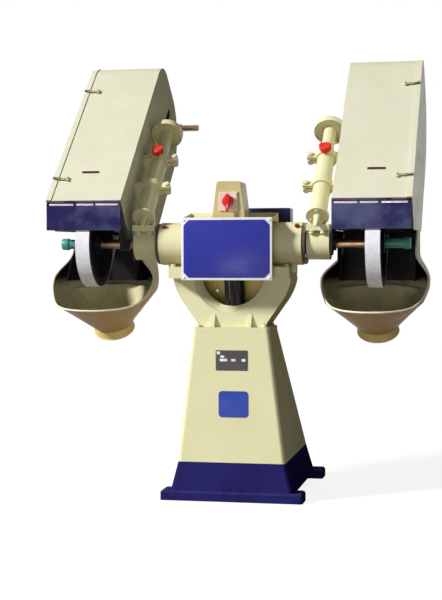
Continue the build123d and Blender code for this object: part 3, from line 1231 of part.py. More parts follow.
def visor():
    """The flap that hangs from the guard's front edge over the contact wheel."""
    hinge_y, hinge_z = visor_axis()
    y, z = arm_point(-hinge_y, hinge_z)
    segments = visor_segments()
    plate = block(GUARD_INNER, GUARD_OUTER, y - VISOR_SHEET / 2, y + VISOR_SHEET / 2, z - VISOR_HEIGHT, z)
    for x0, x1 in segments:
        plate -= rod_x(VISOR_KNUCKLE_RADIUS + PART_GAP, x0 - PART_GAP, x1 + PART_GAP, y, z)
    for x0, x1 in segments[1::2]:
        plate += rod_x(VISOR_KNUCKLE_RADIUS, x0 + PART_GAP, x1 - PART_GAP, y, z)
        plate += block(x0 + PART_GAP, x1 - PART_GAP, y - VISOR_SHEET / 2, y + VISOR_SHEET / 2,
                       z - 2 * VISOR_KNUCKLE_RADIUS, z)
    plate -= block(segments[-1][1], GUARD_OUTER + CUT_PAST, y - VISOR_SHEET, y + VISOR_SHEET,
                   z - VISOR_KNUCKLE_RADIUS, z + CUT_PAST)
    plate -= rod_x(VISOR_PIN_RADIUS + RUNNING_GAP, GUARD_INNER - CUT_PAST, GUARD_OUTER + CUT_PAST, y, z)
    return SPINDLE_PLACE * plate


def between(first, last, share, ease):
    """A hood outline between two others: its height by the share, its sizes by the ease."""
    sizes = [a + ease * (b - a) for a, b in zip(first[:-1], last[:-1])]
    return (*sizes, first[-1] + share * (last[-1] - first[-1]))


def hood_outlines():
    """Level outlines of the hood from its top to its lip: centre, half width, corner, rear and height."""
    centre = GUARD_INNER + GUARD_WIDTH / 2
    back = arm_point(-BACK_BEHIND, bottom_along(-BACK_BEHIND))[0]
    top = (centre, GUARD_WIDTH / 2, HOOD_TOP_CORNER, back, GUARD_BOTTOM)
    shoulder = (centre, GUARD_WIDTH / 2, HOOD_TOP_CORNER, back, HOOD_SHOULDER)
    belly = (HOOD_X, HOOD_HALF_WIDTH, HOOD_CORNER, HOOD_BELLY_REAR, HOOD_BELLY)
    lip = (HOOD_X, HOOD_LIP_HALF_WIDTH, HOOD_LIP_CORNER, HOOD_LIP_REAR, HOOD_LIP)
    outlines = [top]
    for step in range(HOOD_FLARE_STEPS):
        share = step / HOOD_FLARE_STEPS
        outlines.append(between(shoulder, belly, share, (1 - math.cos(math.pi * share)) / 2))
    turn_in = between(belly, lip, 0.5, 1 - math.cos(math.pi / 4))
    return [*outlines, belly, turn_in, lip]


def hood_sections(inset):
    """The hood's level outlines and its neck as faces, drawn in by a wall's thickness."""
    faces = []
    for centre, width, corner, rear, height in hood_outlines():
        sketch = RectangleRounded(2 * (width - inset), rear - HOOD_FRONT - 2 * inset, corner - inset / 2)
        faces.append(Pos(centre, (HOOD_FRONT + rear) / 2, height) * sketch)
    neck = 2 * (SPOUT_RADIUS - inset)
    faces.append(Pos(HOOD_X, SPOUT_BACK, HOOD_NECK) * RectangleRounded(neck, neck, neck / 2 - PART_GAP))
    return faces


def hood_body(inset):
    """The hood as a solid, one ruled stretch between each pair of level outlines."""
    faces = hood_sections(inset)
    stretches = [loft(faces[index:index + 2], ruled=True) for index in range(len(faces) - 1)]
    return sum(stretches[1:], stretches[0])


def dust_hood():
    """The scoop under the contact wheel, open to the front and top, with its round spout."""
    hood = hood_body(0) - hood_body(HOOD_SHEET)
    mouth = polygon((HOOD_MOUTH_BACK, HOOD_LIP), (HOOD_MOUTH_TOP_BACK, GUARD_BOTTOM + CUT_PAST),
                    (HOOD_FRONT - CUT_PAST, GUARD_BOTTOM + CUT_PAST), (HOOD_FRONT - CUT_PAST, HOOD_LIP))
    hood -= slab_x(mouth, HOOD_X - 2 * HOOD_HALF_WIDTH, HOOD_X + 2 * HOOD_HALF_WIDTH)
    hood += rod_z(SPOUT_RADIUS, SPOUT_BOTTOM, HOOD_NECK, HOOD_X, SPOUT_BACK)
    bore = SPOUT_RADIUS - HOOD_SHEET
    hood -= rod_z(bore, SPOUT_BOTTOM - CUT_PAST, HOOD_NECK + 2 * HOOD_SHEET, HOOD_X, SPOUT_BACK)
    return SPINDLE_PLACE * hood


SINGLE_PIECES = {
    "pedestal_foot": pedestal_foot,
    "pedestal_column": pedestal_column,
    "access_cover": access_cover,
    "cradle": cradle,
    "cradle_back_plate": cradle_back_plate,
    "head_housing": head_housing,
    "belt_box_lid": belt_box_lid,
    "switch_box": switch_box,
    "switch_plate": switch_plate,
    "switch_knob": switch_knob,
    "sign_plate": sign_plate,
    "grease_cups": grease_cups,
    "control_box": control_box,
    "base_fasteners": base_fasteners,
    "drive_belts": drive_belts,
    "motor": motor,
    "motor_shaft": motor_shaft,
    "motor_pulley": motor_pulley,
    "spindle_pulley": spindle_pulley,
    "spindle_shaft": spindle_shaft,
}

STATION_PIECES = {
    "contact_wheel": contact_wheel,
    "arm_collar": arm_collar,
    "arm_bracket": arm_bracket,
    "arm_bolts": arm_bolts,
    "slide_tube": slide_tube,
    "tension_spring": tension_spring,
    "idler_bracket": idler_bracket,
    "idler_axle": idler_axle,
    "idler_wheel": idler_wheel,
    "sanding_belt": sanding_belt,
    "lock_knob": lock_knob,
    "guard_clamps": guard_clamps,
    "guard_shell": guard_shell,
    "guard_door": guard_door,
    "lower_latch": lower_latch,
    "upper_latch": upper_latch,
    "visor": visor,
    "dust_hood": dust_hood,
}

PAIRED_PIECES = {
    "bearing_noses": bearing_nose,
    "spindle_bearings": spindle_bearing,
    "end_sleeves": end_sleeve,
    "wheel_tyres": wheel_tyre,
}


def main():
    os.makedirs("parts", exist_ok=True)
    for name, make in SINGLE_PIECES.items():
        save(name, make())
    for name, make in PAIRED_PIECES.items():
        right = make()
        save(name, group(right, mirrored(right)))
    for name, make in STATION_PIECES.items():
        right = make()
        save(f"{name}_right", right)
        save(f"{name}_left", mirrored(right))


main()
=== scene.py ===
import math

import bpy
from mathutils import Matrix, Vector


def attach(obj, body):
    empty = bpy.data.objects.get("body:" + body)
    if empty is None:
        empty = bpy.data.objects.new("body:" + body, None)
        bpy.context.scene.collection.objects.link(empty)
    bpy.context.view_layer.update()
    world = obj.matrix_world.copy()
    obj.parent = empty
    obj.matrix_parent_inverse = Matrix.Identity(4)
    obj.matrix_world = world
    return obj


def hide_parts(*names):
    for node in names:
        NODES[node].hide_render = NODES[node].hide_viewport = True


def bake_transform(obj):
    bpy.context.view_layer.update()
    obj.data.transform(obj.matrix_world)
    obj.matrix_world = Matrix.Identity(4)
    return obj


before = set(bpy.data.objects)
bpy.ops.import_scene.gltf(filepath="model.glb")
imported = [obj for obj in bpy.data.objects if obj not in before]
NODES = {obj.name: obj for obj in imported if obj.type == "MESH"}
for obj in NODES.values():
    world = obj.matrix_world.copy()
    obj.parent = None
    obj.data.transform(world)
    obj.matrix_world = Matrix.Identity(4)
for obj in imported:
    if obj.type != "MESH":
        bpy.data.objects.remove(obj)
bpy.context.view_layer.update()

# Photograph and camera, in pixels, degrees and metres
PHOTO_HEIGHT = 600
FOCAL_PIXELS = 1390
SENSOR = 36.0
CAMERA_PLACE = Vector((0.9237, -5.0479, 0.875))
CAMERA_YAW = 11.426
CAMERA_PITCH = 2.022
CAMERA_ROLL = -0.157

# Colours that more than one finish or mask uses, as seen in sRGB values
CREAM = (222, 219, 177)
CREAM_SHADE = (209, 202, 151)
SHEET_CREAM = (218, 218, 194)
SHEET_SHADE = (208, 203, 168)
SPOUT_CREAM = (222, 200, 130)
NAVY = (32, 29, 78)
HINGE_SHADE = (92, 80, 104)
BLACK = (30, 28, 32)
STEEL = (176, 170, 164)
BRASS = (186, 160, 96)
ALUMINIUM = (198, 200, 202)
GRIT = (242, 242, 252)
GRIT_DARK = (216, 214, 226)
DUST = (206, 190, 158)
# Warm tint of the painted shade on faces turned down
UNDER_SHADE_TINT = (164, 116, 40)
PRIMER = (142, 112, 92)

# Where finishes change, in metres: the painted shade of the hood's inside by height, the spout along its
# axis, the visor's hinge
HOOD_SHADE_LOW = 0.735
HOOD_SHADE_HIGH = 0.785
SPOUT_AXIS = (0, -0.5446, 0.8387)
SPOUT_START = 0.5572
HINGE_AXIS = (0, -0.4199, 1.0456)
HINGE_REACH = 0.0062
EDGE_BLUR = 0.0008

# Directions
UP = (0, 0, 1)
DOWN = (0, 0, -1)
FRONT = (0, -1, 0)
REAR = (0, 1, 0)


def linear(colour):
    """A colour given as sRGB values, in the linear values that shaders use."""
    shares = [value / 255 for value in colour]
    return tuple(s / 12.92 if s <= 0.04045 else ((s + 0.055) / 1.055) ** 2.4 for s in shares) + (1.0,)


# Shader nodes

def add_node(tree, kind, inputs=None, **settings):
    """Add a node, set its options, and set or link its inputs."""
    made = tree.nodes.new(kind)
    for name, value in settings.items():
        setattr(made, name, value)
    for name, value in (inputs or {}).items():
        if isinstance(value, bpy.types.NodeSocket):
            tree.links.new(value, made.inputs[name])
        else:
            made.inputs[name].default_value = value
    return made


def connect(tree, sockets, **values):
    """Link values to sockets by name; underscores stand for spaces."""
    for name, value in values.items():
        tree.links.new(value, sockets[name.replace("_", " ")])


def calculate(tree, operation, first, second, clamp=False):
    made = add_node(tree, "ShaderNodeMath", {0: first, 1: second}, operation=operation, use_clamp=clamp)
    return made.outputs[0]


def dot_product(tree, first, second):
    made = add_node(tree, "ShaderNodeVectorMath", {0: first, 1: second}, operation="DOT_PRODUCT")
    return made.outputs["Value"]


def remap(tree, value, low, high, to_low=0.0, to_high=1.0):
    """Bring a value smoothly from one range to another."""
    inputs = {"Value": value, "From Min": low, "From Max": high, "To Min": to_low, "To Max": to_high}
    return add_node(tree, "ShaderNodeMapRange", inputs, interpolation_type="SMOOTHSTEP").outputs[0]


def mix_colour(tree, share, first, second):
    """Mix two colours; the mix node has them at sockets 6 and 7, and its result at 2."""
    return add_node(tree, "ShaderNodeMix", {0: share, 6: first, 7: second}, data_type="RGBA").outputs[2]


def noise(tree, place, scale, detail=2.0, roughness=0.5):
    inputs = {"Vector": place, "Scale": scale, "Detail": detail, "Roughness": roughness}
    return add_node(tree, "ShaderNodeTexNoise", inputs).outputs[0]


def object_place(tree, stretch=(1, 1, 1)):
    """Object coordinates, stretched for a pattern."""
    where = add_node(tree, "ShaderNodeTexCoord").outputs["Object"]
    return add_node(tree, "ShaderNodeMapping", {"Vector": where, "Scale": stretch}).outputs[0]


def patches(tree, pattern, to_low=0.0, to_high=1.0):
    """A noise pattern on Object coordinates, brought from one value to another."""
    *kind, low, high = pattern
    return remap(tree, noise(tree, object_place(tree), *kind), low, high, to_low, to_high)


COLOUR_SOCKETS = ("Colour", "Shade")


def new_group(name, inputs, outputs):
    """An empty node group with named sockets, which are values but for the colour sockets."""
    tree = bpy.data.node_groups.new(name, "ShaderNodeTree")
    for direction, labels in (("INPUT", inputs), ("OUTPUT", outputs)):
        for label in labels:
            kind = "NodeSocketColor" if label in COLOUR_SOCKETS else "NodeSocketFloat"
            tree.interface.new_socket(label, in_out=direction, socket_type=kind)
    start = tree.nodes.new("NodeGroupInput")
    end = tree.nodes.new("NodeGroupOutput")
    return tree, start.outputs, end.inputs


# Noise patterns: scale, detail, roughness, and the values at which a pattern begins and is full

WEAR_PATCHES = (34.0, 4.0, 0.65, 0.44, 0.66)
PAINT_CLOUDS = (5.5, 4.0, 0.6, 0.35, 0.72)
PAINT_SPECKS = (190.0, 2.0, 0.7, 0.58, 0.74)
PAINT_SMEARS = (17.0, 5.0, 0.65, 0.3, 0.75)
DUST_DRIFTS = (14.0, 6.0, 0.7, 0.36, 0.7)
METAL_SMUDGES = (42.0, 5.0, 0.62, 0.3, 0.75)
METAL_STAINS = (42.0, 5.0, 0.62, 0.45, 0.75)
GRIT_CLUMPS = (60.0, 4.0, 0.65, 0.35, 0.7)

# Where other effects begin and are full, and how much they change

WEAR_EDGE = (0.985, 0.86)
WEAR_SAMPLES = 4
SPECK_SHARE = 0.35
SMEAR_GLOSS = (-0.07, 0.13)
PEEL_SCALE = 420.0
PEEL_DETAIL = 1.0
PEEL_SHARE = 0.06
DUST_SLOPES = (0.45, 0.98)
DUST_DULLNESS = 0.35
DRIFT_LEAST = 0.15
# Painted shade on faces turned down: the slopes where it begins and where it is full
UNDER_SHADE_SLOPES = (-0.1, -0.7)
RING_STRETCH = (1, 0.02, 0.02)
RING_DETAIL = 3.0
RING_ROUGHNESS = 0.6
RING_GLOSS = 0.1
SMUDGE_GLOSS = (-0.05, 0.16)
STAIN_SHARE = 0.5
GRAIN_REACH = (0.1, 0.6, 1.0, 0.0)
CLUMP_RISE = 0.4
RUBBER_GRAIN = 2200.0
RUBBER_PALE_SHARE = 0.45
RUBBER_ROUGHNESS = (0.65, 0.85)
GRIT_GRAIN = 900.0
GRIT_ROUGHNESS = (0.95, 0.75)
GRAIN_SHARE = 0.45
LOADED_SHARE = 0.3


def edge_wear_group():
    """Where paint has rubbed thin along edges."""
    tree, given, out = new_group("edge_wear", ["Radius", "Amount"], ["Mask"])
    rounded = add_node(tree, "ShaderNodeBevel", {"Radius": given["Radius"]}, samples=WEAR_SAMPLES)
    flat = add_node(tree, "ShaderNodeNewGeometry").outputs["Normal"]
    edge = remap(tree, dot_product(tree, rounded.outputs[0], flat), *WEAR_EDGE)
    worn = calculate(tree, "MULTIPLY", edge, patches(tree, WEAR_PATCHES))
    connect(tree, out, Mask=calculate(tree, "MULTIPLY", worn, given["Amount"], clamp=True))
    return tree


def paint_skin_group():
    """Brushed-on enamel: cloudy tone, orange peel and a casting's or sheet's slow waves."""
    inputs = ["Colour", "Shade", "Cloud", "Wave Scale", "Wave Share", "Gloss"]
    tree, given, out = new_group("paint_skin", inputs, ["Colour", "Roughness", "Height"])
    specks = patches(tree, PAINT_SPECKS, to_high=SPECK_SHARE)
    tones = calculate(tree, "ADD", patches(tree, PAINT_CLOUDS), specks)
    share = calculate(tree, "MULTIPLY", tones, given["Cloud"], clamp=True)
    place = object_place(tree)
    peel = calculate(tree, "MULTIPLY", noise(tree, place, PEEL_SCALE, PEEL_DETAIL), PEEL_SHARE)
    waves = calculate(tree, "MULTIPLY", noise(tree, place, given["Wave Scale"]), given["Wave Share"])
    connect(tree, out, Colour=mix_colour(tree, share, given["Colour"], given["Shade"]),
            Roughness=calculate(tree, "ADD", given["Gloss"], patches(tree, PAINT_SMEARS, *SMEAR_GLOSS)),
            Height=calculate(tree, "ADD", peel, waves))
    return tree


def dust_and_under_shade_group():
    """Fine sanding dust that lies on faces turned upwards, and painted warm shade on faces turned down."""
    tree, given, out = new_group("dust_and_under_shade", ["Amount", "Under Amount"], ["Mask", "Under"])
    normal = add_node(tree, "ShaderNodeNewGeometry").outputs["Normal"]
    upward = add_node(tree, "ShaderNodeSeparateXYZ", {0: normal}).outputs["Z"]
    drift = patches(tree, DUST_DRIFTS, to_low=DRIFT_LEAST)
    lying = calculate(tree, "MULTIPLY", remap(tree, upward, *DUST_SLOPES), drift)
    shaded_under = remap(tree, upward, *UNDER_SHADE_SLOPES)
    connect(tree, out, Mask=calculate(tree, "MULTIPLY", lying, given["Amount"], clamp=True),
            Under=calculate(tree, "MULTIPLY", shaded_under, given["Under Amount"]))
    return tree


def machined_group():
    """Turning marks and smudges on bare metal, ringed about the X direction."""
    tree, given, out = new_group("machined", ["Line Scale", "Gloss"], ["Roughness", "Height", "Stain"])
    place = object_place(tree, RING_STRETCH)
    rings = noise(tree, place, given["Line Scale"], RING_DETAIL, RING_ROUGHNESS)
    smudged = calculate(tree, "ADD", patches(tree, METAL_SMUDGES, *SMUDGE_GLOSS), given["Gloss"])
    ringed = calculate(tree, "MULTIPLY", rings, RING_GLOSS)
    connect(tree, out, Roughness=calculate(tree, "ADD", smudged, ringed), Height=rings,
            Stain=patches(tree, METAL_STAINS))
    return tree


def grit_group():
    """Grains bonded in clumps of glue, or the fine texture of rubber."""
    tree, given, out = new_group("grit", ["Grain Scale"], ["Grain", "Clump", "Height"])
    inputs = {"Vector": object_place(tree), "Scale": given["Grain Scale"]}
    cells = add_node(tree, "ShaderNodeTexVoronoi", inputs)
    grains = remap(tree, cells.outputs["Distance"], *GRAIN_REACH)
    clumps = patches(tree, GRIT_CLUMPS)
    raised = calculate(tree, "MULTIPLY", clumps, CLUMP_RISE)
    connect(tree, out, Grain=grains, Clump=clumps, Height=calculate(tree, "ADD", grains, raised))
    return tree


EDGE_WEAR = edge_wear_group()
PAINT_SKIN = paint_skin_group()
DUST_AND_UNDER_SHADE = dust_and_under_shade_group()
MACHINED = machined_group()
GRIT_SKIN = grit_group()


def place_group(tree, group, **values):
    """Put a node group in a material, with its own values; underscores stand for spaces."""
    made = tree.nodes.new("ShaderNodeGroup")
    made.node_tree = group
    for name, value in values.items():
        made.inputs[name.replace("_", " ")].default_value = value
    return made.outputs


def new_material(name, **settings):
    """A material with a Principled BSDF whose plain values are set on its own sockets."""
    material = bpy.data.materials.new(name)
    material.use_nodes = True
    tree = material.node_tree
    shader = tree.nodes["Principled BSDF"]
    for label, value in settings.items():
        shader.inputs[label.replace("_", " ")].default_value = value
    return material, tree, shader


def raise_surface(tree, shader, height, strength, distance):
    bump = add_node(tree, "ShaderNodeBump", {"Height": height, "Strength": strength, "Distance": distance})
    tree.links.new(bump.outputs[0], shader.inputs["Normal"])


def painted(name, colour, shade, under=PRIMER, gloss=0.36, cloud=0.3, wave_scale=26.0, wave_share=0.5,
            depth=0.0006, wear=0.55, wear_radius=0.003, dust=0.3, under_shade=0.0, coat=0.05, shine=0.3):
    """Enamel over metal, with worn edges that show what lies under it, dust on top and painted warm shade
    beneath.
    """
    material, tree, shader = new_material(name, Coat_Weight=coat, Coat_Roughness=0.2,
                                          Specular_IOR_Level=shine)
    skin = place_group(tree, PAINT_SKIN, Colour=linear(colour), Shade=linear(shade), Cloud=cloud,
                       Wave_Scale=wave_scale, Wave_Share=wave_share, Gloss=gloss)
    worn = place_group(tree, EDGE_WEAR, Radius=wear_radius, Amount=wear)["Mask"]
    settled = place_group(tree, DUST_AND_UNDER_SHADE, Amount=dust, Under_Amount=under_shade)
    chipped = mix_colour(tree, worn, skin["Colour"], linear(under))
    # Painted warm shade on faces turned down
    under_shaded = mix_colour(tree, settled["Under"], chipped, linear(UNDER_SHADE_TINT))
    dulled = calculate(tree, "MULTIPLY", settled["Mask"], DUST_DULLNESS)
    connect(tree, shader.inputs, Base_Color=mix_colour(tree, settled["Mask"], under_shaded, linear(DUST)),
            Roughness=calculate(tree, "ADD", skin["Roughness"], dulled))
    raise_surface(tree, shader, skin["Height"], strength=0.5, distance=depth)
    return material


def moulded(name, colour, shade):
    """Moulded plastic with a fine skin and scuffed edges."""
    return painted(name, colour, shade, under=colour, gloss=0.3, cloud=0.4, wave_scale=60.0, wave_share=0.2,
                   depth=0.0002, wear=0.3, dust=0.1, shine=0.2)


def bare_metal(name, colour, stain, gloss=0.28, line_scale=900.0):
    """Turned or plated metal, stained in patches."""
    material, tree, shader = new_material(name, Metallic=1.0)
    marks = place_group(tree, MACHINED, Line_Scale=line_scale, Gloss=gloss)
    share = calculate(tree, "MULTIPLY", marks["Stain"], STAIN_SHARE)
    connect(tree, shader.inputs, Base_Color=mix_colour(tree, share, linear(colour), linear(stain)),
            Roughness=marks["Roughness"])
    raise_surface(tree, shader, marks["Height"], strength=0.35, distance=0.00008)
    return material


def rubbery(name, colour, pale, dust):
    """Rubber with paler clumps and some dust."""
    material, tree, shader = new_material(name, Specular_IOR_Level=0.3)
    skin = place_group(tree, GRIT_SKIN, Grain_Scale=RUBBER_GRAIN)
    dusty = place_group(tree, DUST_AND_UNDER_SHADE, Amount=dust)["Mask"]
    share = calculate(tree, "MULTIPLY", skin["Clump"], RUBBER_PALE_SHARE)
    tone = mix_colour(tree, share, linear(colour), linear(pale))
    connect(tree, shader.inputs, Base_Color=mix_colour(tree, dusty, tone, linear(DUST)),
            Roughness=remap(tree, skin["Clump"], 0.0, 1.0, *RUBBER_ROUGHNESS))
    raise_surface(tree, shader, skin["Height"], strength=0.3, distance=0.0002)
    return material


def abrasive(name):
    """Pale abrasive grains on cloth, darker where wood dust has packed between them."""
    material, tree, shader = new_material(name, Specular_IOR_Level=0.25)
    skin = place_group(tree, GRIT_SKIN, Grain_Scale=GRIT_GRAIN)
    packed = calculate(tree, "MULTIPLY", skin["Clump"], LOADED_SHARE)
    loaded = mix_colour(tree, packed, linear(GRIT), linear(DUST))
    share = calculate(tree, "MULTIPLY", skin["Grain"], GRAIN_SHARE)
    connect(tree, shader.inputs, Base_Color=mix_colour(tree, share, loaded, linear(GRIT_DARK)),
            Roughness=remap(tree, skin["Grain"], 0.0, 1.0, *GRIT_ROUGHNESS))
    raise_surface(tree, shader, skin["Height"], strength=0.6, distance=0.0004)
    return material


# Finishes of this machine: a colour, its darker shade and what differs from plain enamel

# under_shade is how strongly the painted warm shade darkens faces turned down
CASTING = dict(colour=CREAM, shade=CREAM_SHADE, wave_scale=55.0, wave_share=0.8, depth=0.0009, under_shade=0.25,
               coat=0.0)
SHEET = dict(wave_scale=9.0, wave_share=1.2, depth=0.0012, gloss=0.4, wear_radius=0.002, coat=0.0)
GUARD = dict(SHEET, colour=SHEET_CREAM, shade=SHEET_SHADE, under_shade=0.3)
PAINTS = {
    "cream_casting": dict(CASTING, shine=0.0),
    "tube_cream": dict(CASTING, shine=0.22),
    "cream_sheet": dict(GUARD, shine=0.0),
    "door_cream": dict(GUARD, shine=0.4),
    "hood_cream": dict(SHEET, colour=(222, 208, 158), shade=(200, 180, 120), under_shade=0.8, shine=0.04),
    # The hood's inside: a duller, darker cream than its outside, as painted shade
    "shaded_hood_inside": dict(colour=(212, 207, 170), shade=(152, 146, 110), gloss=0.6, cloud=0.9, dust=0.35,
                        wear=0.0, coat=0.0, shine=0.05),
    "box_cream": dict(colour=(200, 186, 136), shade=(184, 170, 118), wave_scale=9.0, wave_share=1.0,
                      depth=0.001, shine=0.12),
    "warm_cream": dict(colour=(236, 214, 128), shade=(222, 196, 108), wave_scale=40.0, shine=0.06),
    "cream_edge": dict(colour=(238, 226, 212), shade=CREAM, under=(190, 160, 140), gloss=0.4, wave_scale=60.0,
                       depth=0.0005, shine=0.15),
    # Painted shade: the bearing noses are dark brown for the shade that falls between the head tube and the
    # collar
    "nose_shade_brown": dict(colour=(92, 86, 72), shade=(72, 66, 54), gloss=0.5, coat=0.0, shine=0.06),
    "navy_paint": dict(colour=(40, 38, 98), shade=NAVY, under=(96, 100, 140), gloss=0.34, cloud=0.8,
                       wave_scale=40.0, dust=0.08, coat=0.0, shine=0.0),
    "navy_sheet": dict(colour=(76, 80, 114), shade=NAVY, under=(120, 122, 140), gloss=0.3, cloud=1.6,
                       wave_scale=9.0, wave_share=1.4, depth=0.0012, dust=0.1, coat=0.0, shine=0.15),
    "sign_blue": dict(colour=(48, 52, 146), shade=(42, 45, 130), gloss=0.3, wave_scale=12.0, depth=0.0004,
                      wear=0.2, dust=0.05, coat=0.0, shine=0.15),
    "label_blue": dict(colour=(50, 72, 162), shade=(44, 62, 146), gloss=0.35, depth=0.0003, wear=0.2,
                       coat=0.0, shine=0.15),
    "white_paint": dict(colour=(236, 236, 240), shade=(214, 214, 220), gloss=0.35, depth=0.0003, wear=0.3),
    "black_paint": dict(colour=BLACK, shade=(40, 37, 40), under=(60, 57, 58), gloss=0.5, cloud=0.6, dust=0.06,
                        coat=0.0, shine=0.06),
    "motor_paint": dict(colour=(92, 102, 110), shade=(74, 84, 92), wave_scale=55.0, wave_share=0.8),
    "grease_red": dict(colour=(122, 24, 26), shade=(84, 14, 16), under=BRASS, gloss=0.35, cloud=0.6),
    "slot_maroon": dict(colour=(98, 46, 56), shade=(48, 24, 30), gloss=0.5, depth=0.0003, shine=0.1),
    "data_grey": dict(colour=(58, 54, 54), shade=(74, 72, 68), under=ALUMINIUM, gloss=0.35, depth=0.0003),
}
PLASTICS = {
    "red_plastic": dict(colour=(220, 42, 28), shade=(150, 18, 18)),
    "teal_plastic": dict(colour=(74, 150, 136), shade=(48, 108, 100)),
    "switch_grey": dict(colour=(226, 214, 150), shade=(190, 180, 178)),
    "switch_face": dict(colour=(224, 206, 202), shade=(206, 184, 178)),
}
METALS = {
    "bare_steel": dict(colour=(150, 122, 98), stain=(96, 74, 62)),
    "zinc_steel": dict(colour=(196, 194, 186), stain=BRASS, gloss=0.32, line_scale=300.0),
    "bearing_steel": dict(colour=STEEL, stain=STEEL, gloss=0.18),
    "idler_aluminium": dict(colour=ALUMINIUM, stain=(170, 170, 168), gloss=0.34),
    "latch_brass": dict(colour=(164, 152, 112), stain=(112, 100, 70), gloss=0.4, line_scale=300.0),
    "hinge_bright": dict(colour=(186, 172, 178), stain=(150, 112, 104), gloss=0.36),
}
RUBBERS = {
    "wheel_rubber": dict(colour=(30, 29, 31), pale=(48, 46, 48), dust=0.1),
    "drive_rubber": dict(colour=(18, 18, 20), pale=(34, 33, 35), dust=0.05),
}
MATERIALS = {"abrasive_cloth": abrasive("abrasive_cloth")}
for make, finishes in ((painted, PAINTS), (moulded, PLASTICS), (bare_metal, METALS), (rubbery, RUBBERS)):
    MATERIALS.update({name: make(name, **settings) for name, settings in finishes.items()})


def along_direction(tree, direction):
    """How far a point lies along a direction, in metres."""
    return dot_product(tree, object_place(tree), direction)


def hood_shade_mask(tree):
    """Painted shade on the hood's inside: black above its bottom."""
    return remap(tree, along_direction(tree, UP), HOOD_SHADE_LOW, HOOD_SHADE_HIGH)


def spout_mask(tree):
    """The hood's spout, in a plain cream of its own, without the wear, dust and painted shade of the rest of
    its outside.
    """
    return remap(tree, along_direction(tree, SPOUT_AXIS), SPOUT_START, SPOUT_START - EDGE_BLUR)


def hinge_mask(tree):
    """The guard's knuckles, where its visor hangs."""
    inputs = {0: object_place(tree, (0, 1, 1)), 1: HINGE_AXIS}
    away = add_node(tree, "ShaderNodeVectorMath", inputs, operation="DISTANCE").outputs["Value"]
    return remap(tree, away, HINGE_REACH, HINGE_REACH - EDGE_BLUR)


def overlay(name, mask, colour):
    """Lay a colour over a material's own colour where a mask is one."""
    tree = MATERIALS[name].node_tree
    base = tree.nodes["Principled BSDF"].inputs["Base Color"]
    tree.links.new(mix_colour(tree, mask(tree), base.links[0].from_socket, linear(colour)), base)


# Painted shade: the hood's inside goes black above its bottom
overlay("shaded_hood_inside", hood_shade_mask, BLACK)
overlay("hood_cream", spout_mask, SPOUT_CREAM)
overlay("cream_sheet", hinge_mask, HINGE_SHADE)

FINISHES = {
    "cream_casting": ["pedestal_column", "access_cover", "cradle", "head_housing", "idler_bracket"],
    "tube_cream": ["arm_collar", "arm_bracket", "guard_clamps", "slide_tube"],
    "cream_sheet": ["belt_box_lid", "guard_shell"],
    "door_cream": ["guard_door"],
    "hood_cream": ["dust_hood"],
    "box_cream": ["switch_box"],
    "warm_cream": ["cradle_back_plate"],
    "navy_paint": ["pedestal_foot"],
    "navy_sheet": ["control_box", "visor"],
    "white_paint": ["sign_plate"],
    "nose_shade_brown": ["bearing_noses"],
    "black_paint": ["contact_wheel", "spindle_pulley", "motor_pulley"],
    "motor_paint": ["motor"],
    "bare_steel": ["spindle_shaft", "motor_shaft", "idler_axle"],
    "zinc_steel": ["base_fasteners", "arm_bolts", "tension_spring", "lower_latch", "upper_latch"],
    "bearing_steel": ["spindle_bearings"],
    "idler_aluminium": ["idler_wheel"],
    "wheel_rubber": ["wheel_tyres"],
    "drive_rubber": ["drive_belts"],
    "abrasive_cloth": ["sanding_belt"],
    "red_plastic": ["switch_knob", "lock_knob"],
    "grease_red": ["grease_cups"],
    "teal_plastic": ["end_sleeves"],
    "switch_grey": ["switch_plate"],
}


def give_material(piece, name):
    piece.data.materials.clear()
    piece.data.materials.append(MATERIALS[name])


def finish_frame():
    """Give each node of the frame its finish; a pair of nodes is named once."""
    for finish, names in FINISHES.items():
        for name in names:
            for full in (name, name + "_left", name + "_right"):
                if full in NODES:
                    give_material(NODES[full], finish)


finish_frame()


# Modelling, in millimetres until a piece is settled in the frame

MM = 0.001
ARM_LEAN = math.radians(48)
FLOOR_PLACE = Matrix.Scale(MM, 4)
SPINDLE_PLACE = Matrix.Translation((0.0, -0.270, 0.900)) @ Matrix.Scale(MM, 4)
ARM_PLACE = SPINDLE_PLACE @ Matrix.Rotation(-ARM_LEAN, 4, "X")
MIRROR = Matrix.Scale(-1, 4, (1, 0, 0))
SMOOTH_ANGLE = math.radians(35)
SHARP_ANGLE = math.radians(30)
CORNER_STEPS = 10
MERGE_REACH = 0.01
ROUND_SIDES = 20


def clear_selection():
    bpy.ops.object.select_all(action="DESELECT")


def work_on(*pieces):
    """Select these pieces and nothing else, with the last one active."""
    clear_selection()
    for piece in pieces:
        piece.select_set(True)
    bpy.context.view_layer.objects.active = pieces[-1]


def open_mesh(piece):
    """Go into edit mode on one piece, with all of its mesh selected."""
    work_on(piece)
    bpy.ops.object.mode_set(mode="EDIT")
    bpy.ops.mesh.select_mode(type="VERT")
    bpy.ops.mesh.select_all(action="SELECT")


def close_mesh():
    bpy.ops.object.mode_set(mode="OBJECT")


def started(name):
    """The primitive that was just added, named, with its mesh open and all selected."""
    piece = bpy.context.object
    piece.name = name
    open_mesh(piece)
    return piece


def pick(piece, kind, test):
    """In edit mode, select the edges or faces whose points all pass the test, and nothing else."""
    bpy.ops.mesh.select_mode(type=kind)
    bpy.ops.mesh.select_all(action="DESELECT")
    close_mesh()
    mesh = piece.data
    for item in mesh.edges if kind == "EDGE" else mesh.polygons:
        item.select = all(test(mesh.vertices[index].co) for index in item.vertices)
    bpy.ops.object.mode_set(mode="EDIT")


def push(*step):
    """Extrude the selected faces by a step."""
    bpy.ops.mesh.extrude_region_move(TRANSFORM_OT_translate={"value": step})


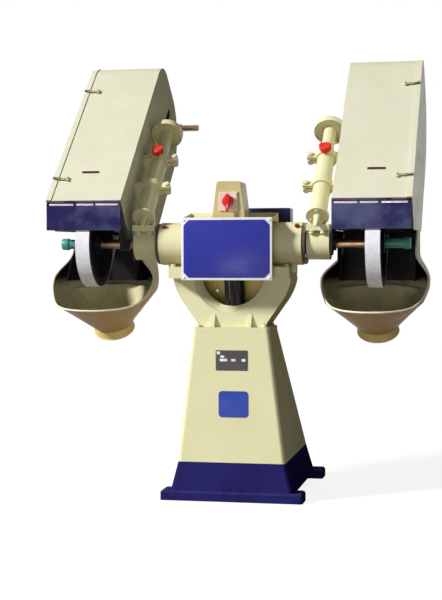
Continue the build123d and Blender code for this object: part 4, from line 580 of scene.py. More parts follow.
def step_face(*steps):
    """Inset the selected faces and raise what is inside, once for each pair of border and rise."""
    for border, rise in steps:
        bpy.ops.mesh.inset(thickness=border)
        bpy.ops.transform.translate(value=(0, 0, rise))


def soften(width):
    """Bevel every sharp edge of the open mesh."""
    bpy.ops.mesh.select_mode(type="EDGE")
    bpy.ops.mesh.select_all(action="DESELECT")
    bpy.ops.mesh.edges_select_sharp(sharpness=SHARP_ANGLE)
    bpy.ops.mesh.bevel(offset=width, segments=2, affect="EDGES")


def merge_and_turn_out():
    """Merge doubles and make every face of the open mesh look outwards."""
    bpy.ops.mesh.select_mode(type="VERT")
    bpy.ops.mesh.select_all(action="SELECT")
    bpy.ops.mesh.remove_doubles(threshold=MERGE_REACH)
    bpy.ops.mesh.normals_make_consistent(inside=False)


def draw_line(name, points):
    """Start a piece as a chain of edges through points, left open with all of it selected."""
    clear_selection()
    bpy.ops.mesh.primitive_plane_add(size=1)
    piece = started(name)
    bpy.ops.mesh.merge(type="CENTER")
    bpy.ops.transform.translate(value=points[0])
    for start, end in zip(points, points[1:]):
        step = Vector(end) - Vector(start)
        bpy.ops.mesh.extrude_vertices_move(TRANSFORM_OT_translate={"value": step})
    bpy.ops.mesh.select_all(action="SELECT")
    return piece


def turned(name, profile, steps):
    """A piece spun about Z from points given as radius and height."""
    piece = draw_line(name, [(radius, 0, height) for radius, height in profile])
    bpy.ops.mesh.spin(steps=steps, angle=2 * math.pi, center=(0, 0, 0), axis=(0, 0, 1))
    merge_and_turn_out()
    close_mesh()
    return piece


def prism(name, outline, depth, edge):
    """A level outline raised along Z, with softened edges."""
    piece = draw_line(name, [(x, y, 0) for x, y in outline])
    bpy.ops.mesh.edge_face_add()
    push(0, 0, depth)
    merge_and_turn_out()
    soften(edge)
    close_mesh()
    return piece


def rounded_sheet(name, width, depth, corner, steps=CORNER_STEPS):
    """A level rectangle with round corners about the origin, left open with all of it selected."""
    clear_selection()
    bpy.ops.mesh.primitive_plane_add(size=1)
    piece = started(name)
    bpy.ops.transform.resize(value=(width, depth, 1))
    bpy.ops.mesh.bevel(offset=corner, segments=steps, affect="VERTICES")
    bpy.ops.mesh.select_all(action="SELECT")
    return piece


def outlined(name, width, depth, corner):
    """A closed chain of edges round a level rectangle with round corners."""
    loop = rounded_sheet(name, width, depth, corner)
    bpy.ops.mesh.delete(type="ONLY_FACE")
    close_mesh()
    return loop


def arched(name, profile, start, sweep, steps):
    """A closed profile of radius and height spun part of the way about Z, from an angle in degrees."""
    angle = math.radians(start)
    points = [(radius * math.cos(angle), radius * math.sin(angle), height) for radius, height in profile]
    piece = draw_line(name, points)
    bpy.ops.mesh.edge_face_add()
    bpy.ops.mesh.spin(steps=steps, angle=-math.radians(sweep), center=(0, 0, 0), axis=(0, 0, 1))
    merge_and_turn_out()
    close_mesh()
    return piece


def rounded_plate(name, width, depth, corner, thickness, edge, steps=4):
    """A plate with round corners on the level plane, its upper edge softened."""
    piece = rounded_sheet(name, width, depth, corner, steps=steps)
    push(0, 0, thickness)
    merge_and_turn_out()
    pick(piece, "FACE", lambda point: point.z > thickness / 2)
    bpy.ops.mesh.region_to_loop()
    bpy.ops.mesh.bevel(offset=edge, segments=2, affect="EDGES")
    close_mesh()
    return piece


def rod(name, sides, radius, height, base, edge):
    """An upright cylinder from a base height, with softened edges."""
    clear_selection()
    bpy.ops.mesh.primitive_cylinder_add(vertices=sides, radius=radius, depth=height,
                                        location=(0, 0, base + height / 2))
    piece = started(name)
    soften(edge)
    close_mesh()
    return settle(piece, Matrix.Identity(4))


def joined(name, *pieces):
    work_on(*pieces)
    bpy.ops.object.join()
    piece = bpy.context.object
    piece.name = name
    return piece


def copied(piece, name):
    made = piece.copy()
    made.data = piece.data.copy()
    made.name = name
    bpy.context.scene.collection.objects.link(made)
    return made


def settle(piece, place):
    """Put a piece at a place and keep the place in its mesh; a mirrored one is turned outside out."""
    piece.matrix_world = place @ piece.matrix_world
    work_on(piece)
    bpy.ops.object.transform_apply(location=True, rotation=True, scale=True)
    if place.determinant() < 0:
        open_mesh(piece)
        bpy.ops.mesh.flip_normals()
        close_mesh()
    return piece


def facing(point, direction):
    """A place whose Z points along a direction, at a point."""
    return Matrix.Translation(point) @ Vector(direction).to_track_quat("Z", "Y").to_matrix().to_4x4()


def spread(name, pattern, places):
    """Copies of a pattern at every place, joined as one piece; the pattern is used up."""
    copies = [settle(copied(pattern, name), place) for place in places]
    bpy.data.objects.remove(pattern)
    return joined(name, *copies)


def twins(piece, place):
    """The right-hand piece and its mirror image for the left, both settled in the frame."""
    other = copied(piece, piece.name + "_left")
    piece.name += "_right"
    return {"right": settle(piece, place), "left": settle(other, MIRROR @ place)}


def apply_modifier(piece, kind, **settings):
    work_on(piece)
    modifier = piece.modifiers.new(kind.lower(), kind)
    for name, value in settings.items():
        setattr(modifier, name, value)
    bpy.ops.object.modifier_apply(modifier=modifier.name)


def dress(piece, finish):
    """Smooth a finished piece, and give it the named finish, if any."""
    if finish:
        give_material(piece, finish)
    work_on(piece)
    bpy.ops.object.shade_smooth_by_angle(angle=SMOOTH_ANGLE)
    return piece


def fit(piece, finish, body, replaced=None):
    """Dress a settled piece and let it ride a body, in place of a node if one is named."""
    dress(piece, finish)
    if replaced:
        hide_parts(replaced)
    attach(piece, body)


def fit_pair(piece, place, finish, body, replaced=None):
    """Fit a piece and its mirror image, each to its own side's body and node."""
    for side, made in twins(piece, place).items():
        fit(made, finish, f"{body}_{side}", replaced and f"{replaced}_{side}")


# Dust hoods, measured from the spindle
# An outline has its centre, half width, corner, front, rear, tip in degrees and height

HOOD_TOP = (497.5, 132.5, 10.0, -112.0, 371.0, 0.0, 45.0)
HOOD_SHOULDER = (*HOOD_TOP[:-1], -30.0)
HOOD_BELLY = (490.0, 190.0, 186.0, -112.0, 305.0, 3.0, -140.0)
HOOD_LIP = (490.0, 172.0, 168.0, -112.0, 290.0, 12.0, -234.0)
HOOD_NECK = (490.0, 74.0, 73.9, 133.9, 281.9, 33.0, -324.3)
HOOD_SPOUT = (490.0, 74.0, 73.9, 152.9, 300.9, 33.0, -353.3)
MOUTH = [(-113, -234), (-80, -229), (-45, -219), (-12, -204), (18, -182), (45, -155), (90, -101), (207, 46)]
FLARE_STEPS = 10
TURN_IN_STEPS = 5
HOOD_SHEET = 2.5
HOOD_RIM = 3.4
RIM_DRAW_IN = (0.984, 0.99, 1.0)
RIM_MIDDLE = 90.0
BEAD_STEPS = 3
WELD_RADIUS = 2.0
WELD_ROUGHNESS = 0.5
WELD_STEPS = 72
WELD_SIDES = 8
WELD_SEED = 7
# Black sheets put where shade falls, inside the hood and on the guard's side by the shaft: painted shade
SHADE_SHEET_PLAN = [(367.5, 40), (367.5, 236), (627.5, 236), (627.5, 40)]
SHADE_SHEET_LOW = -132.0
SHADE_SHEET_HIGH = 44.0
SHADE_PLATE_X = 365.4
SHADE_SHEET_THICKNESS = 2.0
SHADE_PLATE_EDGE = 0.3
SHADE_PLATE = [(-148, 148), (-150, -24), (-18, -24), (-18, 0), (-13, 13), (0, 18), (13, 13), (18, 0), (18, -60),
         (120, -60), (204, 44), (-51, 44)]
SIDE_ON = Matrix(((0, 0, 1, 0), (1, 0, 0, 0), (0, 1, 0, 0), (0, 0, 0, 1)))
CLOSE = 0.02


def between(first, last, share, ease):
    """A hood outline between two others: its height by the share, its sizes by the ease."""
    sizes = [a + ease * (b - a) for a, b in zip(first[:-1], last[:-1])]
    return (*sizes, first[-1] + share * (last[-1] - first[-1]))


def outline_place(outline):
    """The middle of a hood outline, tipped up at its rear about its front."""
    centre, _, _, front, rear, tip, height = outline
    tipped = Matrix.Translation((centre, front, height)) @ Matrix.Rotation(math.radians(tip), 4, "X")
    return tipped @ Matrix.Translation((0, (rear - front) / 2, 0))


def stacked(name, outlines):
    """A skin through hood outlines, left open with all of it selected."""
    loops = []
    for outline in outlines:
        _, half, corner, front, rear, _, _ = outline
        loops.append(settle(outlined(name, 2 * half, rear - front, corner), outline_place(outline)))
    skin = joined(name, *loops)
    open_mesh(skin)
    bpy.ops.mesh.bridge_edge_loops()
    bpy.ops.mesh.select_all(action="SELECT")
    return skin


def cut_slope(start, end, clear=False):
    """Cut what is selected along a slope through two points; what is above it goes if asked."""
    normal = Vector((0, start[1] - end[1], end[0] - start[0])).normalized()
    bpy.ops.mesh.bisect(plane_co=(0, *start), plane_no=normal, clear_outer=clear)


def above_mouth(point):
    """How far a point lies above the mouth's curve."""
    for (near, low), (far, high) in zip(MOUTH, MOUTH[1:]):
        if point.y <= far:
            break
    return point.z - low - (point.y - near) / (far - near) * (high - low)


def cut_mouth(skin):
    """Cut the open mesh along the mouth's curve, a band of depth at a time, and clear what is above."""
    for depth, _ in MOUTH[1:]:
        bpy.ops.mesh.select_all(action="SELECT")
        bpy.ops.mesh.bisect(plane_co=(0, depth, 0), plane_no=(0, 1, 0))
    for start, end in zip(MOUTH, MOUTH[1:]):
        pick(skin, "FACE", lambda point: start[0] - CLOSE < point.y < end[0] + CLOSE)
        cut_slope(start, end)
    pick(skin, "FACE", lambda point: above_mouth(point) > -CLOSE)
    bpy.ops.mesh.delete(type="FACE")


def model_hood():
    """The scoop's sheet and the round bead along its mouth."""
    outlines = [HOOD_TOP]
    for step in range(FLARE_STEPS):
        share = step / FLARE_STEPS
        outlines.append(between(HOOD_SHOULDER, HOOD_BELLY, share, (1 - math.cos(math.pi * share)) / 2))
    for step in range(TURN_IN_STEPS + 1):
        share = step / TURN_IN_STEPS
        outlines.append(between(HOOD_BELLY, HOOD_LIP, share, 1 - math.cos(math.pi / 2 * share)))
    hood = stacked("hood", [*outlines, HOOD_NECK, HOOD_SPOUT])
    cut_mouth(hood)
    merge_and_turn_out()
    pick(hood, "EDGE", lambda point: abs(above_mouth(point)) < CLOSE)
    bpy.ops.mesh.duplicate()
    bpy.ops.mesh.separate(type="SELECTED")
    close_mesh()
    rim = next(piece for piece in bpy.context.selected_objects if piece != hood)
    give_material(hood, "hood_cream")
    # The inside faces take the painted shade of the hood's inside
    hood.data.materials.append(MATERIALS["shaded_hood_inside"])
    apply_modifier(hood, "SOLIDIFY", thickness=HOOD_SHEET, offset=-1, material_offset=1)
    open_mesh(rim)
    middle = (HOOD_BELLY[0], RIM_MIDDLE, HOOD_BELLY[-1])
    bpy.ops.transform.resize(value=RIM_DRAW_IN, center_override=middle)
    close_mesh()
    return hood, beaded(rim, "hood_rim", HOOD_RIM)


def model_shade_sheets():
    """Painted shade: a black sheet that hangs from the guard inside the hood, and a black plate beside the
    shaft.
    """
    shade_sheet = draw_line("hood_shade_sheet", [(x, y, SHADE_SHEET_LOW) for x, y in SHADE_SHEET_PLAN])
    bpy.ops.mesh.extrude_edges_move(TRANSFORM_OT_translate={"value": (0, 0, SHADE_SHEET_HIGH - SHADE_SHEET_LOW)})
    bpy.ops.mesh.select_all(action="SELECT")
    cut_slope(*MOUTH[-2:], clear=True)
    close_mesh()
    apply_modifier(shade_sheet, "SOLIDIFY", thickness=SHADE_SHEET_THICKNESS, offset=0)
    shade_plate = prism("guard_shade_plate", SHADE_PLATE, SHADE_SHEET_THICKNESS, SHADE_PLATE_EDGE)
    settle(shade_plate, Matrix.Translation((SHADE_PLATE_X, 0, 0)) @ SIDE_ON)
    return joined("hood_shade_sheet", shade_plate, shade_sheet)


def beaded(path, name, radius):
    """A chain of edges made a round bead."""
    work_on(path)
    bpy.ops.object.convert(target="CURVE")
    curve = bpy.context.object.data
    curve.bevel_depth = radius
    curve.bevel_resolution = BEAD_STEPS
    curve.use_fill_caps = True
    bpy.ops.object.convert(target="MESH")
    piece = bpy.context.object
    piece.name = name
    return piece


def hood_welds():
    """A weld bead where the spout meets the cone, and the rolled hem at the spout's end."""
    rings = []
    for outline, lift, unevenness in ((HOOD_NECK, 0.0, WELD_ROUGHNESS), (HOOD_SPOUT, WELD_RADIUS, 0.0)):
        clear_selection()
        bpy.ops.mesh.primitive_torus_add(major_radius=outline[1], minor_radius=WELD_RADIUS,
                                         major_segments=WELD_STEPS, minor_segments=WELD_SIDES)
        ring = started("hood_weld")
        bpy.ops.transform.vertex_random(offset=unevenness, seed=WELD_SEED)
        close_mesh()
        rings.append(settle(ring, outline_place(outline) @ Matrix.Translation((0, 0, lift))))
    return joined("hood_welds", *rings)


def build_hoods():
    hood, rim = model_hood()
    welds = hood_welds()
    # Painted shade: black sheets inside each hood and on the guard's side
    fit_pair(model_shade_sheets(), SPINDLE_PLACE, "black_paint", "arm")
    fit_pair(hood, SPINDLE_PLACE, None, "arm", replaced="dust_hood")
    fit_pair(rim, SPINDLE_PLACE, "cream_edge", "arm")
    fit_pair(welds, SPINDLE_PLACE, "hood_cream", "arm")


# Sanding belts and tension springs, on the arm as if upright: X, minus the way ahead, and along it

WHEEL_X = 502.0
WHEEL_GRIP = 150.35
IDLER_GRIP = 85.35
IDLER_ALONG = 674.1
BELT_WIDTH = 50.0
BELT_THICKNESS = 1.6
RUN_STEPS = 24
WHEEL_STEPS = 56
IDLER_STEPS = 40
TUBE_X = 306.0
TUBE_AHEAD = 105.0
SPRING_LOW = 44.0
SPRING_HIGH = 157.5
SPRING_RADIUS = 19.8
SPRING_WIRE = 2.0
SPRING_TURNS = 12
SPRING_STEPS = 24
WIRE_SIDES = 10


def arc(along, radius, first, last, steps):
    """Points round a wheel that sits some way along the arm, from one angle to another."""
    angles = [first + (last - first) * step / steps for step in range(steps + 1)]
    return [Vector((0, radius * math.cos(angle), along + radius * math.sin(angle))) for angle in angles]


def run_between(first, last):
    """The points inside a straight run."""
    return [first.lerp(last, step / RUN_STEPS) for step in range(1, RUN_STEPS)]


def model_sanding_belt():
    """A loop of cloth round the contact wheel and the idler."""
    slope = math.asin((WHEEL_GRIP - IDLER_GRIP) / IDLER_ALONG)
    wheel = arc(0, WHEEL_GRIP, slope, -math.pi - slope, WHEEL_STEPS)
    idler = arc(IDLER_ALONG, IDLER_GRIP, math.pi - slope, slope, IDLER_STEPS)
    belt = draw_line("sanding_cloth", [*wheel, *run_between(wheel[-1], idler[0]), *idler,
                                       *run_between(idler[-1], wheel[0])])
    bpy.ops.mesh.edge_face_add()
    bpy.ops.mesh.delete(type="ONLY_FACE")
    bpy.ops.mesh.select_all(action="SELECT")
    bpy.ops.transform.translate(value=(WHEEL_X - BELT_WIDTH / 2, 0, 0))
    bpy.ops.mesh.extrude_edges_move(TRANSFORM_OT_translate={"value": (BELT_WIDTH, 0, 0)})
    merge_and_turn_out()
    close_mesh()
    apply_modifier(belt, "SOLIDIFY", thickness=BELT_THICKNESS, offset=1)
    return belt


def model_spring():
    """A coil of round wire that fills the tube between its foot and the slide."""
    clear_selection()
    bpy.ops.mesh.primitive_circle_add(vertices=WIRE_SIDES, radius=SPRING_WIRE, rotation=(math.pi / 2, 0, 0))
    spring = started("tension_coil")
    bpy.ops.transform.translate(value=(SPRING_RADIUS, 0, 0))
    close_mesh()
    work_on(spring)
    bpy.ops.object.transform_apply(location=True, rotation=True, scale=True)
    pitch = (SPRING_HIGH - SPRING_LOW - 2 * SPRING_WIRE) / SPRING_TURNS
    apply_modifier(spring, "SCREW", angle=2 * math.pi, screw_offset=pitch, iterations=SPRING_TURNS,
                   steps=SPRING_STEPS, render_steps=SPRING_STEPS, axis="Z")
    open_mesh(spring)
    merge_and_turn_out()
    bpy.ops.transform.translate(value=(TUBE_X, -TUBE_AHEAD, SPRING_LOW + SPRING_WIRE))
    close_mesh()
    return spring


def build_belts_and_springs():
    for side, belt in twins(model_sanding_belt(), ARM_PLACE).items():
        dress(belt, "abrasive_cloth")
        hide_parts("sanding_belt_" + side)
        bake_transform(belt)
    for side, spring in twins(model_spring(), ARM_PLACE).items():
        dress(spring, "zinc_steel")
        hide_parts("tension_spring_" + side)
        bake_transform(spring)


# Bolts and screws, in millimetres from the floor, the spindle or on the arm

SIGN_SPOT = (2, -390, 882)
SIGN_BOARD = (316, 214)
SIGN_SHEET = 3.0
HEX_RADIUS = 8.6
HEX_FLANGE = 9.2
HEX_HEIGHT = 8.0
HEX_CHAMFER = 1 / 8
HEX_CROWN = 1 / 10
HEX_EDGE = 1 / 16
FLANGE_EDGE = 1 / 12
FLANGE_SIDES = 28
SCREW_HEAD = [(0, 0.9), (1.9, 0.9), (2.2, 3.0), (3.4, 2.8), (4.5, 2.0), (5.0, 0.8), (5.0, 0)]
CONE_BOLT = [(0, -48), (4, -47), (6.5, -43), (8, -37), (11.4, -14), (13, -8), (13, 0), (0, 0)]
COVER_NORMAL = (0, 0.7956, 0.6058)

# Rows of heads on both sides of the middle: X, then each pair's depth and height
CRADLE_BOLTS = (117.5, (-293.8, 609), (-136.2, 609))
LUG_BOLTS = (175.5, (-268, 820), (-147, 820))
FRONT_LUG_BOLTS = (201, (-322, 820))
PLATE_BOLTS = (86, (-126, 732.5))
COVER_SCREWS = (87, (129.1, 274.9), (-12.7, 461.0))
NOSE_SCREWS = (263, (-227.9, 857.9), (-227.9, 942.1), (-312.1, 857.9), (-312.1, 942.1))

SIGN_SCREWS = (149, 98)
COLLAR_BOLT_SCALE = 1.3
COLLAR_BOLT_X = (286.5, 325.5)
COLLAR_BOLT_DEPTH = 54
COLLAR_BOLT_HEIGHT = 44
FLANGE_ALONG = 18
FLANGE_RING = 27.75
FLANGE_ANGLES = (30, 150, 270)
NUT_RADIUS = 10.8
NUT_X = 249
NUT_REACH = 15
NUTS_ALONG = (182, 341)


def hex_bolt(radius=HEX_RADIUS, flange=HEX_FLANGE):
    """A hexagon head with chamfered top on a round flange."""
    middle = HEX_HEIGHT / 2
    clear_selection()
    bpy.ops.mesh.primitive_cylinder_add(vertices=6, radius=radius, depth=HEX_HEIGHT, location=(0, 0, middle))
    head = started("hex_bolt")
    pick(head, "FACE", lambda point: point.z > middle - CLOSE)
    step_face((radius * HEX_CHAMFER, radius * HEX_CROWN))
    soften(radius * HEX_EDGE)
    close_mesh()
    settle(head, Matrix.Identity(4))
    collar = rod("hex_flange", FLANGE_SIDES, flange, HEX_HEIGHT / 4, base=0, edge=radius * FLANGE_EDGE)
    return joined("hex_bolt", collar, head)


def socket_screw():
    """A domed screw head with a round socket."""
    return turned("socket_screw", SCREW_HEAD, steps=20)


def both_sides(x, *spots):
    """Points at both signs of X for each spot of depth and height."""
    return [(sign * x, *spot) for spot in spots for sign in (-1, 1)]


def base_bolt_places():
    points = both_sides(*CRADLE_BOLTS) + both_sides(*LUG_BOLTS) + both_sides(*FRONT_LUG_BOLTS)
    return [facing(point, UP) for point in points]


def base_screw_places():
    sign_x, sign_y, sign_z = SIGN_SPOT
    across, up = SIGN_SCREWS
    corners = [(sign_x + x, sign_y - SIGN_SHEET, sign_z + z) for x in (-across, across) for z in (-up, up)]
    places = [facing(corner, FRONT) for corner in corners]
    places += [facing(point, COVER_NORMAL) for point in both_sides(*COVER_SCREWS)]
    nose_x, *ring = NOSE_SCREWS
    for sign in (-1, 1):
        places += [facing((sign * nose_x, *spot), (sign, 0, 0)) for spot in ring]
    return places


def model_arm_bolts():
    """The collar's bolts, and the screws and the pointed bolt at the foot of the tension tube."""
    big = Matrix.Scale(COLLAR_BOLT_SCALE, 4)
    depths = (-COLLAR_BOLT_DEPTH, COLLAR_BOLT_DEPTH)
    collar_places = [facing((x, y, COLLAR_BOLT_HEIGHT), DOWN) @ big for x in COLLAR_BOLT_X for y in depths]
    collar_bolts = settle(spread("collar_bolts", hex_bolt(), collar_places), SPINDLE_PLACE)
    foot = Vector((TUBE_X, -TUBE_AHEAD, FLANGE_ALONG))
    screw_places = []
    for angle in map(math.radians, FLANGE_ANGLES):
        out = Vector((FLANGE_RING * math.cos(angle), FLANGE_RING * math.sin(angle), 0))
        screw_places.append(facing(foot + out, DOWN))
    flange = spread("flange_screws", socket_screw(), screw_places)
    cone = settle(turned("cone_bolt", CONE_BOLT, steps=24), Matrix.Translation(foot))
    flange = settle(joined("flange_screws", flange, cone), ARM_PLACE)
    return joined("arm_bolt_set", flange, collar_bolts)


def build_fasteners():
    bolts = settle(spread("base_bolts", hex_bolt(), base_bolt_places()), FLOOR_PLACE)
    fit(bolts, "cream_casting", "base")
    plate_places = [facing(point, FRONT) for point in both_sides(*PLATE_BOLTS)]
    plate_bolts = spread("plate_bolts", hex_bolt(), plate_places)
    screws = spread("base_screws", socket_screw(), base_screw_places())
    screws = settle(joined("base_screws", plate_bolts, screws), FLOOR_PLACE)
    fit(screws, "zinc_steel", "base", replaced="base_fasteners")
    arm_bolts = model_arm_bolts()
    fit_pair(arm_bolts, Matrix.Identity(4), "tube_cream", "arm", replaced="arm_bolts")
    nut_places = []
    for along in NUTS_ALONG:
        for reach, direction in ((-NUT_REACH, FRONT), (NUT_REACH, REAR)):
            nut_places.append(facing((NUT_X, reach - TUBE_AHEAD, along), direction))
    nuts = spread("clamp_nuts", hex_bolt(NUT_RADIUS, NUT_RADIUS), nut_places)
    fit_pair(nuts, ARM_PLACE, "tube_cream", "arm")


# Latches, hinge strips and lock knobs

LATCH_X = 578.5
LATCH_DEPTH = 215.35
LATCH_PLACES = {"lower": 104.0, "upper": 628.0}
LATCH_KNUCKLE = 4.0
LATCH_HALF_WIDTH = 4.0
LATCH_BLADE = [(0, -1.75), (20, -1.75), (46, -1.75), (51, -3.2), (54, -7.0), (52.6, -7.6), (49.6, -5.0),
               (44, -3.9), (34, -1.0), (20, 1.2), (0, 1.75)]
RIVET_SPOT = (30, -1.4, 0)
RIVET_SCALE = 0.7
STRIP_SPOT = (-421.2, 1036)
STRIP_HEIGHT = 6.5
STRIP_RUNS = [(412.5, 79), (490.5, 61), (575.5, 87)]
LOCK_ALONG = 341.0
LOCK_BASE = 143.5
LOCK_HEIGHT = 20.0
LOCK_RADIUS = 21.5
LOCK_LOBE = 2.2
LOCK_LOBES = 3
LOCK_STEPS = 54
LOCK_CROWN = (3, 2)
LOCK_DISH = (4, -1.5)


def model_latch():
    """A lever with a waisted blade, a turned-up end, a rivet and its knuckle, hinged on Z at the origin."""
    width = 2 * LATCH_HALF_WIDTH
    lever = prism("latch", LATCH_BLADE, width, edge=0.4)
    settle(lever, Matrix.Translation((0, 0, -LATCH_HALF_WIDTH)))
    knuckle = rod("latch_knuckle", ROUND_SIDES, LATCH_KNUCKLE, width, base=-LATCH_HALF_WIDTH, edge=0.6)
    rivet = settle(socket_screw(), facing(RIVET_SPOT, FRONT) @ Matrix.Scale(RIVET_SCALE, 4))
    return joined("latch", rivet, knuckle, lever)


def build_latches():
    for name, along in LATCH_PLACES.items():
        latch = settle(model_latch(), Matrix.Translation((LATCH_X, -LATCH_DEPTH, along)))
        latch.name = name + "_catch"
        fit_pair(latch, ARM_PLACE, "latch_brass", name + "_latch", replaced=name + "_latch")


def build_hinge_strips():
    """The bright strips that fix the hinge to each visor."""
    strips = []
    for x, width in STRIP_RUNS:
        strip = rounded_plate("hinge_strips", width, STRIP_HEIGHT, corner=1.5, thickness=1.4, edge=0.5)
        strips.append(settle(strip, facing((x, *STRIP_SPOT), FRONT)))
    fit_pair(joined("hinge_strips", *strips), FLOOR_PLACE, "hinge_bright", "visor")


def model_lock_knob():
    """A three-lobed hand knob with a dished face, pointing along Z."""
    angles = [2 * math.pi * step / LOCK_STEPS for step in range(LOCK_STEPS)]
    reach = [LOCK_RADIUS + LOCK_LOBE * math.cos(LOCK_LOBES * angle) for angle in angles]
    outline = [(r * math.sin(angle), -r * math.cos(angle)) for r, angle in zip(reach, angles)]
    brim = LOCK_HEIGHT - LOCK_CROWN[1]
    knob = prism("lock_grip", outline, brim, edge=0.8)
    open_mesh(knob)
    pick(knob, "FACE", lambda point: point.z > brim - CLOSE)
    step_face(LOCK_CROWN, LOCK_DISH)
    close_mesh()
    stem = rod("lock_stem", ROUND_SIDES, radius=5, height=23, base=-22, edge=0.6)
    return joined("lock_grip", stem, knob)


def build_lock_knobs():
    knob = settle(model_lock_knob(), facing((TUBE_X, -LOCK_BASE, LOCK_ALONG), FRONT))
    fit_pair(knob, ARM_PLACE, "red_plastic", "lock", replaced="lock_knob")


# Switch, plates and small fittings of the base

SWITCH_SPOT = (0, -352.3, 1045)
SWITCH_FACE_SPOT = (0, -352, 1045)
SWITCH_FACE = (60, 60)
SELECTOR = [(0, 12), (16, 12), (18.5, 11), (19.6, 9), (20, 0), (0, 0)]
POINTER = [(-9, 20), (0, 27), (9, 20), (10, 0), (6, -24), (3.5, -36), (0, -38), (-3.5, -36), (-6, -24),
           (-10, 0)]
POINTER_LIFT = 10
MARK_SIZE = (2, 14)
MARK_SPOT = (0, -17, 17.9)
SIGN_FIELD = (300, 198)
SIGN_CLIP = 18.0
DATA_SPOT = (3.6, -310, 494)
DATA_SIZE = (114, 71)
DATA_BOXES = [(-33, 13, 13, 8), (-29, 1, 26, 9), (6, 1, 15, 9), (42, 1, 14, 9), (-47, 26, 12, 10)]
DATA_BOX_LIFT = 0.8
LABEL_SPOT = (9.4, -310, 341)
LABEL_SIZE = (106, 92)
BOX_COVER_SPOT = (85.5, -98, 952)
BOX_COVER_SIZE = (189, 134)
BOX_SCREWS = (86, 58)
BOX_SCREW_LIFT = 1.0
CUP_SPOT = (235, -317.6, 956.7)
CUP_DIRECTION = (0, -0.643, 0.766)
GREASE_CAP = [(0, -2), (6, -2), (6, 2.5), (8, 3.2), (8, 8.5), (7, 10.6), (4.5, 11.8), (0, 12)]


def framed_plate(name, size, corner, border, thickness=1.2, sink=0.3):
    """A thin plate whose middle lies a little below its border."""
    plate = rounded_plate(name, *size, corner, thickness, edge=0.4)
    open_mesh(plate)
    pick(plate, "FACE", lambda point: point.z > thickness - CLOSE)
    step_face((border, -sink))
    close_mesh()
    return plate


def build_switch():
    place = FLOOR_PLACE @ facing(SWITCH_SPOT, FRONT)
    body = turned("selector", SELECTOR, steps=40)
    grip = prism("selector_grip", POINTER, depth=8, edge=1.2)
    settle(grip, Matrix.Translation((0, 0, POINTER_LIFT)))
    knob = settle(joined("selector", grip, body), place)
    fit(knob, "red_plastic", "switch", replaced="switch_knob")
    mark = rounded_plate("selector_mark", *MARK_SIZE, corner=0.8, thickness=0.4, edge=0.15)
    settle(mark, place @ Matrix.Translation(MARK_SPOT))
    fit(mark, "white_paint", "switch")
    face = framed_plate("selector_face", SWITCH_FACE, corner=4, border=3, thickness=1.0, sink=0.4)
    settle(face, FLOOR_PLACE @ facing(SWITCH_FACE_SPOT, FRONT))
    fit(face, "switch_face", "base")


def build_sign():
    place = FLOOR_PLACE @ facing(SIGN_SPOT, FRONT)
    board = rounded_plate("sign_board", *SIGN_BOARD, corner=2, thickness=SIGN_SHEET, edge=0.6)
    fit(settle(board, place), "white_paint", "base", replaced="sign_plate")
    field = rounded_plate("sign_field", *SIGN_FIELD, SIGN_CLIP, thickness=0.8, edge=0.3, steps=1)
    settle(field, place @ Matrix.Translation((0, 0, SIGN_SHEET)))
    fit(field, "sign_blue", "base")


def build_column_plates():
    """The bare data plate with its blank boxes, and the bare label below it."""
    place = FLOOR_PLACE @ facing(DATA_SPOT, FRONT)
    plate = framed_plate("data_plate", DATA_SIZE, corner=4, border=2.5)
    fit(settle(plate, place), "data_grey", "base")
    boxes = []
    for x, y, width, height in DATA_BOXES:
        box = rounded_plate("data_boxes", width, height, corner=1, thickness=0.5, edge=0.15)
        boxes.append(settle(box, Matrix.Translation((x, y, DATA_BOX_LIFT))))
    fit(settle(joined("data_boxes", *boxes), place), "white_paint", "base")
    label = framed_plate("column_label", LABEL_SIZE, corner=13, border=1.5)
    fit(settle(label, FLOOR_PLACE @ facing(LABEL_SPOT, FRONT)), "label_blue", "base")


def build_box_cover():
    """The cover at the back of the control box, with a screw in each corner."""
    place = FLOOR_PLACE @ facing(BOX_COVER_SPOT, REAR)
    cover = framed_plate("box_cover", BOX_COVER_SIZE, corner=8, border=5)
    fit(settle(cover, place), "navy_sheet", "base")
    across, up = BOX_SCREWS
    corners = [Matrix.Translation((x, y, BOX_SCREW_LIFT)) for x in (-across, across) for y in (-up, up)]
    screws = settle(spread("box_screws", socket_screw(), corners), place)
    fit(screws, "zinc_steel", "base")


def build_grease_cups():
    """Caps on the tube's ends, tipped forwards."""
    x, *spot = CUP_SPOT
    places = [facing(point, CUP_DIRECTION) for point in both_sides(x, spot)]
    cups = settle(spread("grease_caps", turned("grease_cap", GREASE_CAP, steps=24), places), FLOOR_PLACE)
    fit(cups, "grease_red", "base", replaced="grease_cups")


# Tray over the belt box, throat of the cradle, shaft sleeves, slot frames, disc rims and idler carriers

TRAY_HALF_WIDTH = 156.0
TRAY_SECTION = [(-389, 976), (-389, 987), (-232, 1009), (-226, 1009), (-226, 976)]
TRAY_WALL = 3.0
TRAY_DEPTH = 12.0
TRAY_TOP_LEAST = 980.0
TRAY_TOP_FRONT = -388.5
TRAY_TOP_REAR = -231.0
THROAT_HEIGHT = 795.0
THROAT_SIDE = [(139.4, 285.6), (113, 258), (112, 255), (139.4, 255)]
THROAT_LIP = [(139.4, 285.6), (113, 278), (112, 275.5), (139.4, 275)]
THROAT_START = -173.0
THROAT_TURN = -112.0
THROAT_END = -7.0
SLEEVE_START = 531.0
SLEEVE = [(0, 0), (16.8, 0), (16.8, 63), (20, 63.8), (20.5, 64.5), (20.5, 86.5), (19.5, 88), (9, 88),
          (8, 86), (0, 86)]
SLOT_SPOT = (505, -210, 147)
SLOT_SIZE = (62, 9)
SLOT_BEAD = 1.7
DISC_RIM = [(53, 491), (57.4, 490), (58.3, 491.5), (58.3, 513.5), (57.4, 515), (53, 514), (53, 491)]
